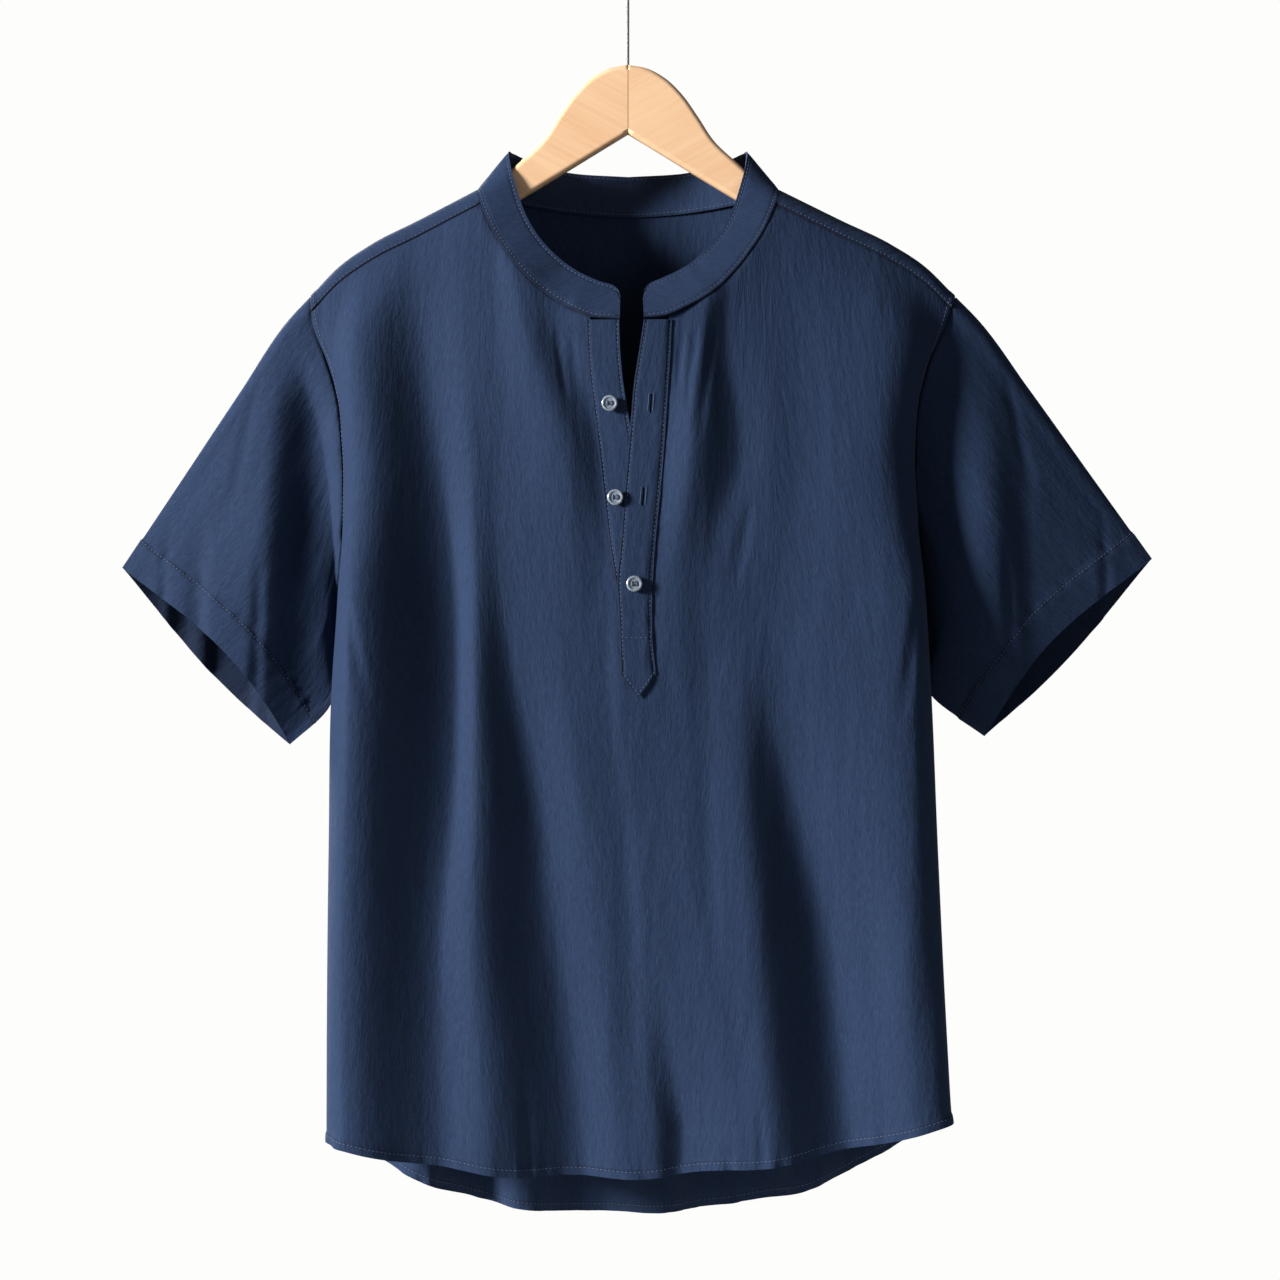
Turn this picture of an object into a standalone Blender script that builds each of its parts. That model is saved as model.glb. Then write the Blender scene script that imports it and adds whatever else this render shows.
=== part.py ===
"""A short-sleeved band-collar shirt with a half placket, hanging on a two-piece wooden hanger.

The origin is where a rod bears in the hook. +Z is up, +X is to the right as the front is seen,
and the front faces -Y. All sizes below are in millimetres; the meshes are made in metres.
"Left" and "right" are as seen from the front. Each piece of cloth is a wall that follows one
shape function, depth(), so pieces that meet at a seam share the same surface.
"""

import math

import bmesh
import bpy
import numpy as np

MM = 0.001

# ---- driving sizes -------------------------------------------------------------------------
CLOTH = 1.2          # wall of the panels
BAND_CLOTH = 1.6     # wall of the neckband, which is two layers
GAP = 0.3            # between pieces at a seam
SLEEVE_GAP, ARMPIT_GAP = 0.6, 1.2  # at the armhole, where two curved edges meet
NECK_GAP = 0.45      # from the neck seam to each panel's edge, sideways and down
HEM_LINE = -870.0    # height at which a column's place along the hem is read
RIDGE_ROUND = 10.0   # radius of the cloth over the shoulder line
NECK = 109.0         # half width of the neckline at the shoulder line
NECK_AT_SEAM = 105.5 # half width of the neckline where the forward shoulder seam meets it
SHOULDER_STRIP = 12.5  # the back panel comes this far over the shoulder line to its seam
SWELL = 90.0         # drop over which the body swells to its full depth
CORNER = 3.4         # exponent of the body's rounded-box section
OPEN_EDGE = 0.62     # power of the section where a sleeve continues it
BUTTON_WIDE = 11.5
BUTTON_THICK = 2.4
BUTTON_HOLE, HOLE_OFF_CENTRE = 0.75, 1.55  # radius of each of the four holes, and where
WIRE = 1.8
HOOK_INSIDE = 19.0   # inner radius of the hook
HANGER_THICK = 12.0
HANGER_ROUND = 3.5
HANGER_JOINT = 0.3
WOOD_TOP = -94.3     # height of the wood's highest point


def table(columns, *rows):
    """A short table as a dict of named columns."""
    return dict(zip(columns.split(), np.array(rows, float).T))


# The shoulder line, from the neck (0) to the shoulder tip (1).
RIDGE = table("along z", (0, -184), (0.36, -206.5), (0.63, -223), (0.84, -240.8), (1, -261.3))
NECK_RISE = 64.0     # how far the shoulder lines would rise if they met over the neck

# The body's edge: the armhole from the shoulder tip down to the armpit, then the side seam.
# "edge" is how far the armhole seam stands in front of the middle plane, past the rounding.
SIDE = table(
    "z left right edge",
    (-261.3, -229.0, 236.0, 0),
    (-283.0, -226.0, 227.5, 2),
    (-304.0, -217.5, 217.5, 5),
    (-328.0, -209.5, 210.0, 8),
    (-369.0, -204.5, 205.5, 9),
    (-414.0, -203.8, 207.0, 9),
    (-479.0, -206.6, 212.0, 6),
    (-550.0, -211.0, 216.0, 0),
    (-650.0, -212.5, 220.0, 0),
    (-750.0, -213.5, 224.5, 0),
    (-862.0, -213.8, 230.4, 0),
)
SHOULDER_TIP, ARMHOLE_CLOSES, ARMPIT = -261.3, -404.0, -479.0

# Depth of the body in front of and behind its middle plane.
DEPTH = table(
    "z front back",
    (-200, 55, 55),
    (-300, 57, 54),
    (-450, 62, 52),
    (-650, 66, 52),
    (-862, 72, 55),
)

NECKLINE = table(
    "x z",
    (0, -280.5),
    (7.9, -280.1),
    (28.6, -277.6),
    (47.8, -268.5),
    (67.6, -253.4),
    (85.6, -232.3),
    (100.6, -207.2),
    (105.5, -195.5),
    (109, -184),
)
BACK_NECK_DROP = 15.0

# The shirt tail: height of both corners, and how far each hem drops below them in the middle.
HEM_CORNER, HEM_TILT = -862.0, 5.0
HEM = {"front": (22.5, 2.4), "back": (65.0, 2.8)}

# Top edge of the neckband, by the angle round the neck from the centre front.
BAND_TOP = table(
    "angle x y z",
    (0, 0.0, -33, -256.5),
    (8, 13.5, -33, -256),
    (20, 28.5, -32, -250),
    (40, 52.0, -28, -233),
    (60, 69.5, -20, -211),
    (75, 78.5, -13, -189),
    (83, 83.5, -8, -171),
    (90, 85.7, 0, -158.4),
    (102, 83.0, 9, -157),
    (120, 74.0, 19, -160),
    (150, 43.0, 31, -168.5),
    (180, 0.0, 35, -171),
)
BAND_CORNER = 11.0   # rounding of the band's two front corners

# Both plackets and the slit under them.
PLACKET = table(
    "z lower_left lower_right upper_left upper_right",
    (-281, -29.7, -5.7, 11.3, 31.8),
    (-303, -28.8, -4.9, 8.0, 30.8),
    (-326, -26.8, -2.8, 4.4, 29.4),
    (-352, -23.4, 1.4, 2.1, 27.8),
    (-376, -20.5, 5.0, 0.0, 26.0),
    (-402, -17.7, 8.2, -2.3, 23.8),
    (-442, -12.8, 12.0, -5.4, 19.9),
    (-467, -8.9, 14.6, -7.7, 18.2),
    (-491, -6.6, 15.6, -6.4, 17.6),
    (-511, -5.6, 16.2, -5.7, 18.3),
    (-537, -5.0, 16.6, -4.9, 21.1),
)
PLACKET_TUCK = 3.0   # how far the panel runs on under each placket
SLIT_END = -530.0
LOWER_PLACKET_END = -526.0
UPPER_PLACKET_END, PLACKET_POINT = -537.0, 11.5
LAYER = CLOTH + GAP  # each piece that lies on another stands this much further out

# Folds are troughs (depth over 0) or ridges (under 0) along a straight path down the cloth.
# "skew" moves the deepest line to one side; "fade" is the length over which an end dies out,
# and "hem" is 1 where the fold runs on through the hem.
FOLD = "z_top x_top z_low x_low half_top half_low deep_top deep_low skew fade hem"
FOLDS = {
    "front": table(
        FOLD,
        (-280, -152, -900, -150, 36, 45, 24, 40, 0.22, 120, 1),   # flute by the left side
        (-430, -84, -900, -54, 22, 44, 8, 38, 0.30, 170, 1),      # flute left of the middle
        (-520, 80, -900, 128, 15, 43, 8, 38, 0.28, 160, 1),       # flute right of the middle
        (-285, -68, -455, -28, 13, 11, 8, 6, 0.2, 45, 0),         # beside the lower placket
        (-262, 94, -460, 48, 14, 13, 9, 6, 0.1, 45, 0),           # from the neck, right
        (-790, 24, -900, 36, 9, 16, 4, 14, 0.2, 50, 1),           # short pleat at the hem
        (-700, 196, -900, 204, 12, 18, 3, 12, 0.0, 90, 1),        # by the right corner
    ),
    "back": table(
        FOLD,
        (-330, -150, -960, -152, 26, 40, 10, 28, 0.1, 150, 1),
        (-300, -62, -960, -72, 22, 36, 6, 22, -0.2, 220, 1),
        (-420, 26, -960, 18, 24, 38, 6, 24, 0.2, 200, 1),
        (-340, 138, -960, 132, 24, 40, 10, 28, -0.1, 170, 1),
        (-230, 74, -430, 96, 16, 20, 5, 5, 0.0, 80, 0),
    ),
    "sleeve_left": table(
        FOLD,
        (-278, -240, -620, -240, 13, 27, 8, 17, 0.1, 60, 1),
        (-380, -292, -620, -300, 10, 20, 3, 6, 0.0, 80, 1),
    ),
    "sleeve_right": table(
        FOLD,
        (-278, 238, -620, 243, 12, 22, 8, 14, 0.0, 60, 1),
        (-340, 262, -620, 286, 10, 20, 3, 7, 0.1, 90, 1),
    ),
}

# A sleeve's top line and underarm line, from the armhole (0) to the cuff (1).
SLEEVE = {
    "left": table(
        "along top_x top_z low_x low_z",
        (0.00, -229.0, -261.3, -206.6, -479),
        (0.08, -242.6, -275.7, -210.8, -496),
        (0.35, -279.5, -330.0, -215.5, -531),
        (0.70, -324.6, -397.9, -222.5, -566),
        (1.00, -363.6, -456.4, -243.4, -583.2),
    ),
    "right": table(
        "along top_x top_z low_x low_z",
        (0.00, 236.0, -261.3, 212.0, -479),
        (0.08, 249.8, -275.2, 216.5, -494),
        (0.35, 288.0, -326.5, 220.5, -525),
        (0.70, 336.2, -393.7, 231.5, -558),
        (1.00, 376.6, -450.0, 257.0, -576.7),
    ),
}
CUFF_DEPTH, SLEEVE_BULGE = 19.0, 11.0
CUFF_FRONT_IN, CUFF_BACK_OUT = 13.0, 7.0  # the cuff's front is shorter than its back

BUTTONS = table("x z layer", (-12.8, -340.9, 1), (-8.8, -407.5, 1), (4.6, -468.5, 2))

# Hanger outline, left half: the arch beside the hook, then the arm under the cloth.
ARCH = ((0, -94.3), (-13.5, -96.8), (-27.4, -104.4), (-38.9, -115.6), (-50.4, -131.7),
        (-61.9, -149), (-77.8, -164.1), (-87, -172.3), (-98, -182))
UNDER_CLOTH = 2.8    # the arm's top edge lies this far below the shoulder line
ARM_START, ARM_END = 112.0, 211.0
ARM_UNDER = ((-205, -259.5), (-180, -247), (-130, -222.5), (-77.8, -191.5), (0, -144))

# ---- grid sizes ----------------------------------------------------------------------------
SHOULDER_COLUMNS, NECK_COLUMNS, PANEL_ROWS = 17, 11, 16
BACK_SHOULDER_COLUMNS, BACK_NECK_COLUMNS, BACK_ROWS = 13, 15, 14
ROW_SPREAD = 1.4     # rows are closer at the top, where the armhole bends
SLEEVE_ROWS, SLEEVE_HALF = 8, 16
BAND_COLUMNS, BAND_ROWS = 52, 3


# ---- shape functions -----------------------------------------------------------------------
def curve(at, knots, values):
    """A smooth line through a table's points."""
    if knots[0] > knots[-1]:
        knots, values = knots[::-1], values[::-1]
    slopes = np.gradient(values, knots)
    at = np.clip(at, knots[0], knots[-1])
    i = np.clip(np.searchsorted(knots, at) - 1, 0, len(knots) - 2)
    h = knots[i + 1] - knots[i]
    t = (at - knots[i]) / h
    ends = values[i] * (1 + 2 * t) * (1 - t) ** 2 + values[i + 1] * t * t * (3 - 2 * t)
    return ends + h * (slopes[i] * t * (1 - t) ** 2 + slopes[i + 1] * t * t * (t - 1))


def smoothstep(t):
    """0 to 1 with level ends."""
    t = np.clip(t, 0, 1)
    return t * t * (3 - 2 * t)


def side_x(x, z):
    """The body's edge at this height, on the side that x is on."""
    left = curve(z, SIDE["z"], SIDE["left"])
    right = curve(z, SIDE["z"], SIDE["right"])
    return np.where(np.asarray(x) < 0, left, right)


def ridge_z(x):
    """Height of the shoulder line over x, bridged over the neck."""
    tip = np.where(np.asarray(x) < 0, -SIDE["left"][0], SIDE["right"][0])
    along = (np.abs(x) - NECK) / (tip - NECK)
    shoulder = curve(along, RIDGE["along"], RIDGE["z"])
    bridge = RIDGE["z"][0] + NECK_RISE * (1 - np.minimum(np.abs(x) / NECK, 1) ** 1.3)
    return np.where(along < 0, bridge, shoulder)


def fold_depth(x, z, folds):
    """How far the folds push the cloth in at these places."""
    total = 0.0
    for i in range(len(folds["skew"])):
        top, low = folds["z_top"][i], folds["z_low"][i]
        t = np.clip((top - z) / (top - low), 0, 1)
        centre, half, deep = (
            folds[key + "_top"][i] + t * (folds[key + "_low"][i] - folds[key + "_top"][i])
            for key in ("x", "half", "deep")
        )
        skew = folds["skew"][i]
        q = (x - centre) / half - skew
        q = np.clip(np.where(q < 0, q / (1 + skew), q / (1 - skew)), -1, 1)
        ends = smoothstep((top - z) / folds["fade"][i])
        if not folds["hem"][i]:
            ends = ends * smoothstep((z - low) / folds["fade"][i])
        total = total + deep * ends * np.cos(q * math.pi / 2) ** 2
    return total


def armhole_depth(z, drop):
    """Distance of the armhole seam from the middle plane: it opens at the shoulder tip and
    closes at the armpit."""
    over = RIDGE_ROUND * np.sqrt(1 - (1 - np.clip(drop / RIDGE_ROUND, 0, 1)) ** 2)
    closing = np.clip((ARMHOLE_CLOSES - z) / (ARMHOLE_CLOSES - ARMPIT), 0, 1)
    return over, (over + curve(z, SIDE["z"], SIDE["edge"])) * np.sqrt(1 - closing ** 2)


def depth(x, z, face):
    """How far the cloth stands from the middle plane, on the front or on the back."""
    drop = np.maximum(ridge_z(x) - z, 0)
    over, edge = armhole_depth(z, drop)
    across = np.minimum(np.abs(x / side_x(x, z)), 1)
    full = curve(z, DEPTH["z"], DEPTH[face])
    middle = over + (full - RIDGE_ROUND) * (1 - np.exp(-drop / SWELL))
    power = 1 / CORNER + (OPEN_EDGE - 1 / CORNER) * np.clip(edge / 12, 0, 1)
    section = (1 - across ** CORNER) ** power
    calm = smoothstep(drop / 60) * (1 - across ** 16)
    return edge + (middle - edge) * section - calm * fold_depth(x, z, FOLDS[face])


def on_panel(x, z, face, lift=0.0):
    """Points of the body's outer surface, moved out by lift, and the directions inwards."""
    out = -1.0 if face == "front" else 1.0
    step = 0.5
    slope_x = (depth(x + step, z, face) - depth(x - step, z, face)) / (2 * step)
    slope_z = (depth(x, z + step, face) - depth(x, z - step, face)) / (2 * step)
    inward = np.stack([slope_x, np.full_like(slope_x, -out), slope_z], axis=-1)
    inward /= np.linalg.norm(inward, axis=-1, keepdims=True)
    points = np.stack([x, out * depth(x, z, face), z], axis=-1)
    return points - lift * inward, inward


def unit(v):
    return v / np.maximum(np.linalg.norm(v, axis=-1, keepdims=True), 1e-9)


def grid_inward(points, sign):
    """Directions into the wall, across a grid of points on its outer surface."""
    along = np.gradient(points, axis=1)
    down = np.gradient(points, axis=0)
    return unit(sign * np.cross(along, down))


def even_share(count):
    """Shares from the body's edge to the neck column that space points evenly round the
    corner of a typical section."""
    half_width, half_depth = -SIDE["left"][7], DEPTH["front"][2]
    reach = 1 - NECK / half_width
    s = 1 - np.linspace(0, 1, 4000) ** 2 * reach
    x, y = half_width * s, half_depth * (1 - s ** CORNER) ** (1 / CORNER)
    along = np.concatenate([[0], np.cumsum(np.hypot(np.diff(x), np.diff(y)))])
    wanted = np.linspace(0, along[-1], count + 1)
    return (1 - np.interp(wanted, along, s)) / reach


def neck_anchor(z):
    """Half width of the column that starts at the end of the shoulder seam."""
    drop = np.clip((RIDGE["z"][0] - z) / SHOULDER_STRIP, 0, 1)
    return NECK + NECK_GAP - (NECK - NECK_AT_SEAM) * drop


def side_to_neck(count, z, sign):
    """x of the columns from the body's edge to the neck column, at this height."""
    edge, neck = side_x(sign, z), sign * neck_anchor(z)
    drop = ridge_z(edge * 0.999) - z
    spread = np.clip(armhole_depth(z, np.maximum(drop, 10))[1] / 12, 0, 1)
    even, plain = even_share(count), np.linspace(0, 1, count + 1)
    return edge + (neck - edge) * (even + (plain - even) * spread)


def neck_seam_inward(x, back):
    """One direction into the wall for both pieces that meet at the neck seam."""
    sine = np.clip(-x / NECK, -1, 1)
    cosine = np.sqrt(1 - sine ** 2) * np.where(back, -1, 1)
    return unit(np.stack([0.6 * sine, cosine, -0.8 * np.abs(sine)], axis=-1))


# Into the wall where the shoulder seam meets the neck seam, for the right side.
SEAM_END_INWARD = unit(np.array([-0.6, 0.6, -0.8]))


def turn_at_edge(inward, points, column, sign):
    """Squares the wall's end at the armhole and at the side seam, to face its neighbour."""
    n = inward[:, column].copy()
    open_part = np.clip((np.abs(points[:, column, 1]) - GAP) / 8, 0, 1)[:, None]
    square = unit(n * (0, 1, 1) + (0, 1e-9, 0))
    closed = np.broadcast_to((-sign, 0, 0), n.shape)
    inward[:, column] = unit(square * open_part + closed * (1 - open_part))


def neckline_z(x):
    """The front neck seam's height."""
    return curve(np.abs(x), NECKLINE["x"], NECKLINE["z"])


def panel_neckline_z(x):
    """The front's own edge, just outside the neck seam."""
    return neckline_z(np.maximum(np.abs(x) - NECK_GAP, 0)) - NECK_GAP


def hem_z(x, face):
    """The curved hem's height."""
    across = x / np.abs(side_x(x, HEM_CORNER))
    drop, power = HEM[face]
    return HEM_CORNER + HEM_TILT * across - drop * (1 - np.minimum(np.abs(across), 1) ** power)


# ---- mesh and material helpers -------------------------------------------------------------
def paint(name, color, roughness, metallic=0.0):
    """A plain material."""
    material = bpy.data.materials.new(name)
    material.use_nodes = True
    shader = material.node_tree.nodes["Principled BSDF"]
    shader.inputs["Base Color"].default_value = (*color, 1)
    shader.inputs["Roughness"].default_value = roughness
    shader.inputs["Metallic"].default_value = metallic
    return material


def add_object(name, bm, material, sharp=40):
    """Closes the work on a bmesh in millimetres: outward faces, metres, smooth shading."""
    bmesh.ops.recalc_face_normals(bm, faces=bm.faces)
    bmesh.ops.scale(bm, vec=(MM, MM, MM), verts=bm.verts)
    mesh = bpy.data.meshes.new(name)
    bm.to_mesh(mesh)
    bm.free()
    mesh.shade_smooth()
    mesh.set_sharp_from_angle(angle=math.radians(sharp))
    mesh.materials.append(material)
    obj = bpy.data.objects.new(name, mesh)
    bpy.context.scene.collection.objects.link(obj)
    return obj


def wall(name, outer, inward, thickness, material, present=None, around=False):
    """A closed wall from a grid of outer points. Cells that aren't present are left open,
    and every open edge is closed by the wall's own thickness."""
    rows, columns = outer.shape[:2]
    inner = outer + inward * thickness
    cells = np.ones((rows - 1, columns if around else columns - 1), bool)
    if present is not None:
        cells &= present
    used = np.zeros((rows, columns), bool)
    for i, j in np.argwhere(cells):
        for a, b in ((i, j), (i + 1, j), (i, j + 1), (i + 1, j + 1)):
            used[a, b % columns] = True
    bm = bmesh.new()
    corner = {}
    for i, j in np.argwhere(used):
        corner[i, j] = (bm.verts.new(outer[i, j]), bm.verts.new(inner[i, j]))

    def is_cell(i, j):
        if around:
            j %= columns
        return 0 <= i < cells.shape[0] and 0 <= j < cells.shape[1] and cells[i, j]

    for i, j in np.argwhere(cells):
        k = (j + 1) % columns
        a, b, c, d = corner[i, j], corner[i + 1, j], corner[i + 1, k], corner[i, k]
        for side in (0, 1):
            bm.faces.new((a[side], b[side], c[side]))
            bm.faces.new((a[side], c[side], d[side]))
        for p, q, i2, j2 in ((a, d, i - 1, j), (b, c, i + 1, j), (a, b, i, j - 1), (d, c, i, j + 1)):
            if not is_cell(i2, j2):
                bm.faces.new((p[0], q[0], q[1], p[1]))
    bmesh.ops.triangulate(bm, faces=[f for f in bm.faces if len(f.verts) == 4])
    return add_object(name, bm, material)


# ---- the pieces ----------------------------------------------------------------------------
def front_columns():
    """Each column of the front as (x at a height, top edge at an x, in the neck or not)."""
    def seam_z(x):
        return ridge_z(x) - SHOULDER_STRIP - GAP / 2

    def slit_x(z, key):
        tuck = PLACKET_TUCK if key == "lower_left" else -PLACKET_TUCK
        return curve(z, PLACKET["z"], PLACKET[key]) + tuck

    columns = []
    for i in range(SHOULDER_COLUMNS + 1):
        columns.append((lambda z, i=i: side_to_neck(SHOULDER_COLUMNS, z, -1)[i], seam_z, False))
    for i in range(1, NECK_COLUMNS + 1):
        t = i / NECK_COLUMNS
        columns.append((lambda z, t=t: (t - 1) * neck_anchor(z) + t * slit_x(z, "lower_left"),
                        panel_neckline_z, True))
    columns.append((lambda z: (slit_x(z, "lower_left") + slit_x(z, "upper_right")) / 2,
                    panel_neckline_z, True))
    for i in range(NECK_COLUMNS):
        t = 1 - i / NECK_COLUMNS
        columns.append((lambda z, t=t: (1 - t) * neck_anchor(z) + t * slit_x(z, "upper_right"),
                        panel_neckline_z, True))
    for i in range(SHOULDER_COLUMNS, -1, -1):
        columns.append((lambda z, i=i: side_to_neck(SHOULDER_COLUMNS, z, 1)[i], seam_z, False))
    return columns


def meet_top(x_at, top_z, start):
    """The height at which a column reaches its top edge."""
    z = start
    for _ in range(30):
        z = 0.5 * z + 0.5 * float(top_z(x_at(z)))
    return z


def front(material):
    """The front panel, from the forward shoulder seams to the hem, with the slit cut out."""
    share = np.linspace(0, 1, PANEL_ROWS + 1) ** ROW_SPREAD
    x, z, neck = [], [], []
    for x_at, top_z, in_neck in front_columns():
        top = meet_top(x_at, top_z, -230.0)
        low = float(hem_z(x_at(HEM_LINE), "front"))
        column = top + (low - top) * share
        z.append(column)
        x.append([float(x_at(height)) for height in column])
        neck.append(in_neck)
    x, z = np.array(x).T, np.array(z).T
    # the slit's end is a row of its own
    middle = SHOULDER_COLUMNS + NECK_COLUMNS + 1
    end_row = int(np.argmin(np.abs(z[:, middle] - SLIT_END)))
    for j in range(middle - 1, middle + 2):
        shift = SLIT_END - z[end_row, j]
        near = np.clip(1 - np.abs(np.arange(PANEL_ROWS + 1) - end_row) / 3, 0, 1)
        z[:, j] += shift * near
    points, inward = on_panel(x, z, "front")
    for column, sign in ((0, -1), (-1, 1)):
        closed = z[:, column] < ARMPIT
        points[closed, column, 1] = -GAP / 2
        turn_at_edge(inward, points, column, sign)
    in_neck = np.array(neck)
    inward[0, in_neck] = neck_seam_inward(x[0, in_neck], False)
    for column, sign in ((SHOULDER_COLUMNS, -1), (-1 - SHOULDER_COLUMNS, 1)):
        inward[0, column] = SEAM_END_INWARD * (sign, 1, 1)
    present = np.ones((PANEL_ROWS, len(neck) - 1), bool)
    present[:end_row, middle - 1:middle + 1] = False
    return wall("front", points, inward, CLOTH, material, present)


def back(material):
    """The back panel: it comes over the shoulder line, so its rows start in front of it."""
    strip = np.array([-SHOULDER_STRIP + GAP / 2, -7.0, -3.0, -0.8, 0.0, 0.8, 3.0, 7.0])
    rows = len(strip) + BACK_ROWS
    columns = []
    for i in range(BACK_SHOULDER_COLUMNS + 1):
        columns.append((lambda z, i=i: side_to_neck(BACK_SHOULDER_COLUMNS, z, -1)[i], False))
    for i in range(1, BACK_NECK_COLUMNS):
        t = 2 * i / BACK_NECK_COLUMNS - 1
        columns.append((lambda z, t=t: neck_anchor(-150) * t, True))
    for i in range(BACK_SHOULDER_COLUMNS, -1, -1):
        columns.append((lambda z, i=i: side_to_neck(BACK_SHOULDER_COLUMNS, z, 1)[i], False))
    grid = np.zeros((rows, len(columns), 3))
    for j, (x_at, in_neck) in enumerate(columns):
        if in_neck:
            x = float(x_at(0))
            top = RIDGE["z"][0] - BACK_NECK_DROP * (1 - (x / NECK) ** 2) - NECK_GAP
            heights = np.full(len(strip), top)
            x_strip = np.full(len(strip), x)
        else:
            x_strip, heights = [], []
            for drop in strip:
                z = -230.0
                for _ in range(30):
                    z = 0.5 * z + 0.5 * float(ridge_z(x_at(z)) - abs(drop))
                heights.append(z)
                x_strip.append(float(x_at(z)))
            top = heights[-1]
        low = float(hem_z(x_at(HEM_LINE), "back"))
        share = np.linspace(0, 1, BACK_ROWS + 1)[1:] ** ROW_SPREAD
        column_z = np.concatenate([heights, top + (low - top) * share])
        column_x = np.concatenate([x_strip, [float(x_at(h)) for h in column_z[len(strip):]]])
        faces = np.concatenate([np.sign(strip), np.ones(BACK_ROWS)])
        if in_neck:
            faces[:] = 1
        y = np.where(faces < 0, -depth(column_x, column_z, "front"),
                     depth(column_x, column_z, "back"))
        grid[:, j] = np.stack([column_x, np.where(faces == 0, 0, y), column_z], axis=-1)
    inward = grid_inward(grid, -1)
    neck = np.array([in_neck for _, in_neck in columns])
    first = len(strip) - 1
    grid_x = grid[:, :, 0]
    body = on_panel(grid_x[first + 1:], grid[first + 1:, :, 2], "back")[1]
    inward[first + 1:] = body
    inward[first, neck] = neck_seam_inward(grid_x[first, neck], True)
    inward[0, ~neck] = on_panel(grid_x[0, ~neck], grid[0, ~neck, 2], "front")[1]
    for column, sign in ((0, -1), (-1, 1)):
        closed = grid[:, column, 2] < ARMPIT
        grid[closed, column, 1] = GAP / 2
        turn_at_edge(inward, grid, column, sign)
    for column in (BACK_SHOULDER_COLUMNS, len(columns) - 1 - BACK_SHOULDER_COLUMNS):
        sign = np.sign(grid[0, column, 0])
        cosine = np.array([0.6, 0.4, 0.2, 0.1, 0, -0.1, -0.2, -0.35])
        seam = np.stack([np.full(len(strip), -0.6 * sign), cosine,
                         np.full(len(strip), -0.8)], axis=-1)
        inward[:len(strip), column] = unit(seam)
        inward[0, column] = SEAM_END_INWARD * (sign, 1, 1)
    present = np.ones((rows - 1, len(columns) - 1), bool)
    present[:first, BACK_SHOULDER_COLUMNS:len(columns) - 1 - BACK_SHOULDER_COLUMNS] = False
    return wall("back", grid, inward, CLOTH, material, present)


def sleeve(side, material):
    """A tube from the armhole to the cuff: the front runs from the top line to the underarm
    line and the back runs up again."""
    sign = -1 if side == "left" else 1
    line = SLEEVE[side]
    around = np.linspace(0, 2 * math.pi, 2 * SLEEVE_HALF, endpoint=False)
    q = (1 - np.cos(around)) / 2
    out = np.where(np.sin(around) > 1e-9, -1.0, np.where(np.sin(around) < -1e-9, 1.0, 0.0))
    arm_z = SHOULDER_TIP + (ARMPIT - SHOULDER_TIP) * q
    arm_x = side_x(sign, arm_z)
    arm_depth = armhole_depth(arm_z, SHOULDER_TIP - arm_z)[1]
    top, low = (np.array([line[k + "_x"][-1], line[k + "_z"][-1]]) for k in ("top", "low"))
    chord = (low - top) / np.linalg.norm(low - top)
    up_sleeve = np.array([chord[1] * sign, -chord[0] * sign])
    belly = np.sin(math.pi * q ** 1.15)
    slant = np.where(out < 0, CUFF_FRONT_IN, -CUFF_BACK_OUT) * belly
    cuff = top + np.outer(q, low - top) + np.outer(slant, up_sleeve)
    cuff_depth = CUFF_DEPTH * belly ** 0.8
    grid = np.zeros((SLEEVE_ROWS + 1, len(q), 3))
    for i in range(SLEEVE_ROWS + 1):
        t = i / SLEEVE_ROWS
        t_top = [curve(t, line["along"], line[k]) for k in ("top_x", "top_z")]
        t_low = [curve(t, line["along"], line[k]) for k in ("low_x", "low_z")]
        flat = np.stack([arm_x, arm_z], axis=-1) * (1 - t) + cuff * t
        top_line = t_top - (flat[0])
        low_line = t_low - (flat[SLEEVE_HALF])
        flat = flat + np.outer(1 - q, top_line) + np.outer(q, low_line)
        thick = arm_depth * (1 - t) + cuff_depth * t + SLEEVE_BULGE * math.sin(math.pi * t) * belly
        flat[:, 0] += sign * (SLEEVE_GAP + ARMPIT_GAP * q ** 6) * (1 - t)
        calm = np.sin(math.pi * q) ** 0.7 * smoothstep(t / 0.12)
        thick = thick - calm * fold_depth(flat[:, 0], flat[:, 1], FOLDS["sleeve_" + side])
        grid[i] = np.stack([flat[:, 0], out * np.maximum(thick, 0), flat[:, 1]], axis=-1)
    wrapped = np.concatenate([grid[:, -1:], grid, grid[:, :1]], axis=1)
    inward = grid_inward(wrapped, sign)[:, 1:-1]
    inward[0] = unit(inward[0] * np.stack([q ** 6, np.ones_like(q), np.ones_like(q)], axis=-1))
    return wall("sleeve_" + side, grid, inward, CLOTH, material, around=True)


def band_seam(angle):
    """The neck seam, by the angle round the neck from the centre front."""
    x = -NECK * np.sin(angle)
    in_front = np.cos(angle) > 0
    z = np.where(in_front, neckline_z(x), RIDGE["z"][0] - BACK_NECK_DROP * (1 - (x / NECK) ** 2))
    y = np.where(in_front, -depth(x, z, "front"), depth(x, z, "back"))
    return np.stack([x, y, z], axis=-1)


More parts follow.
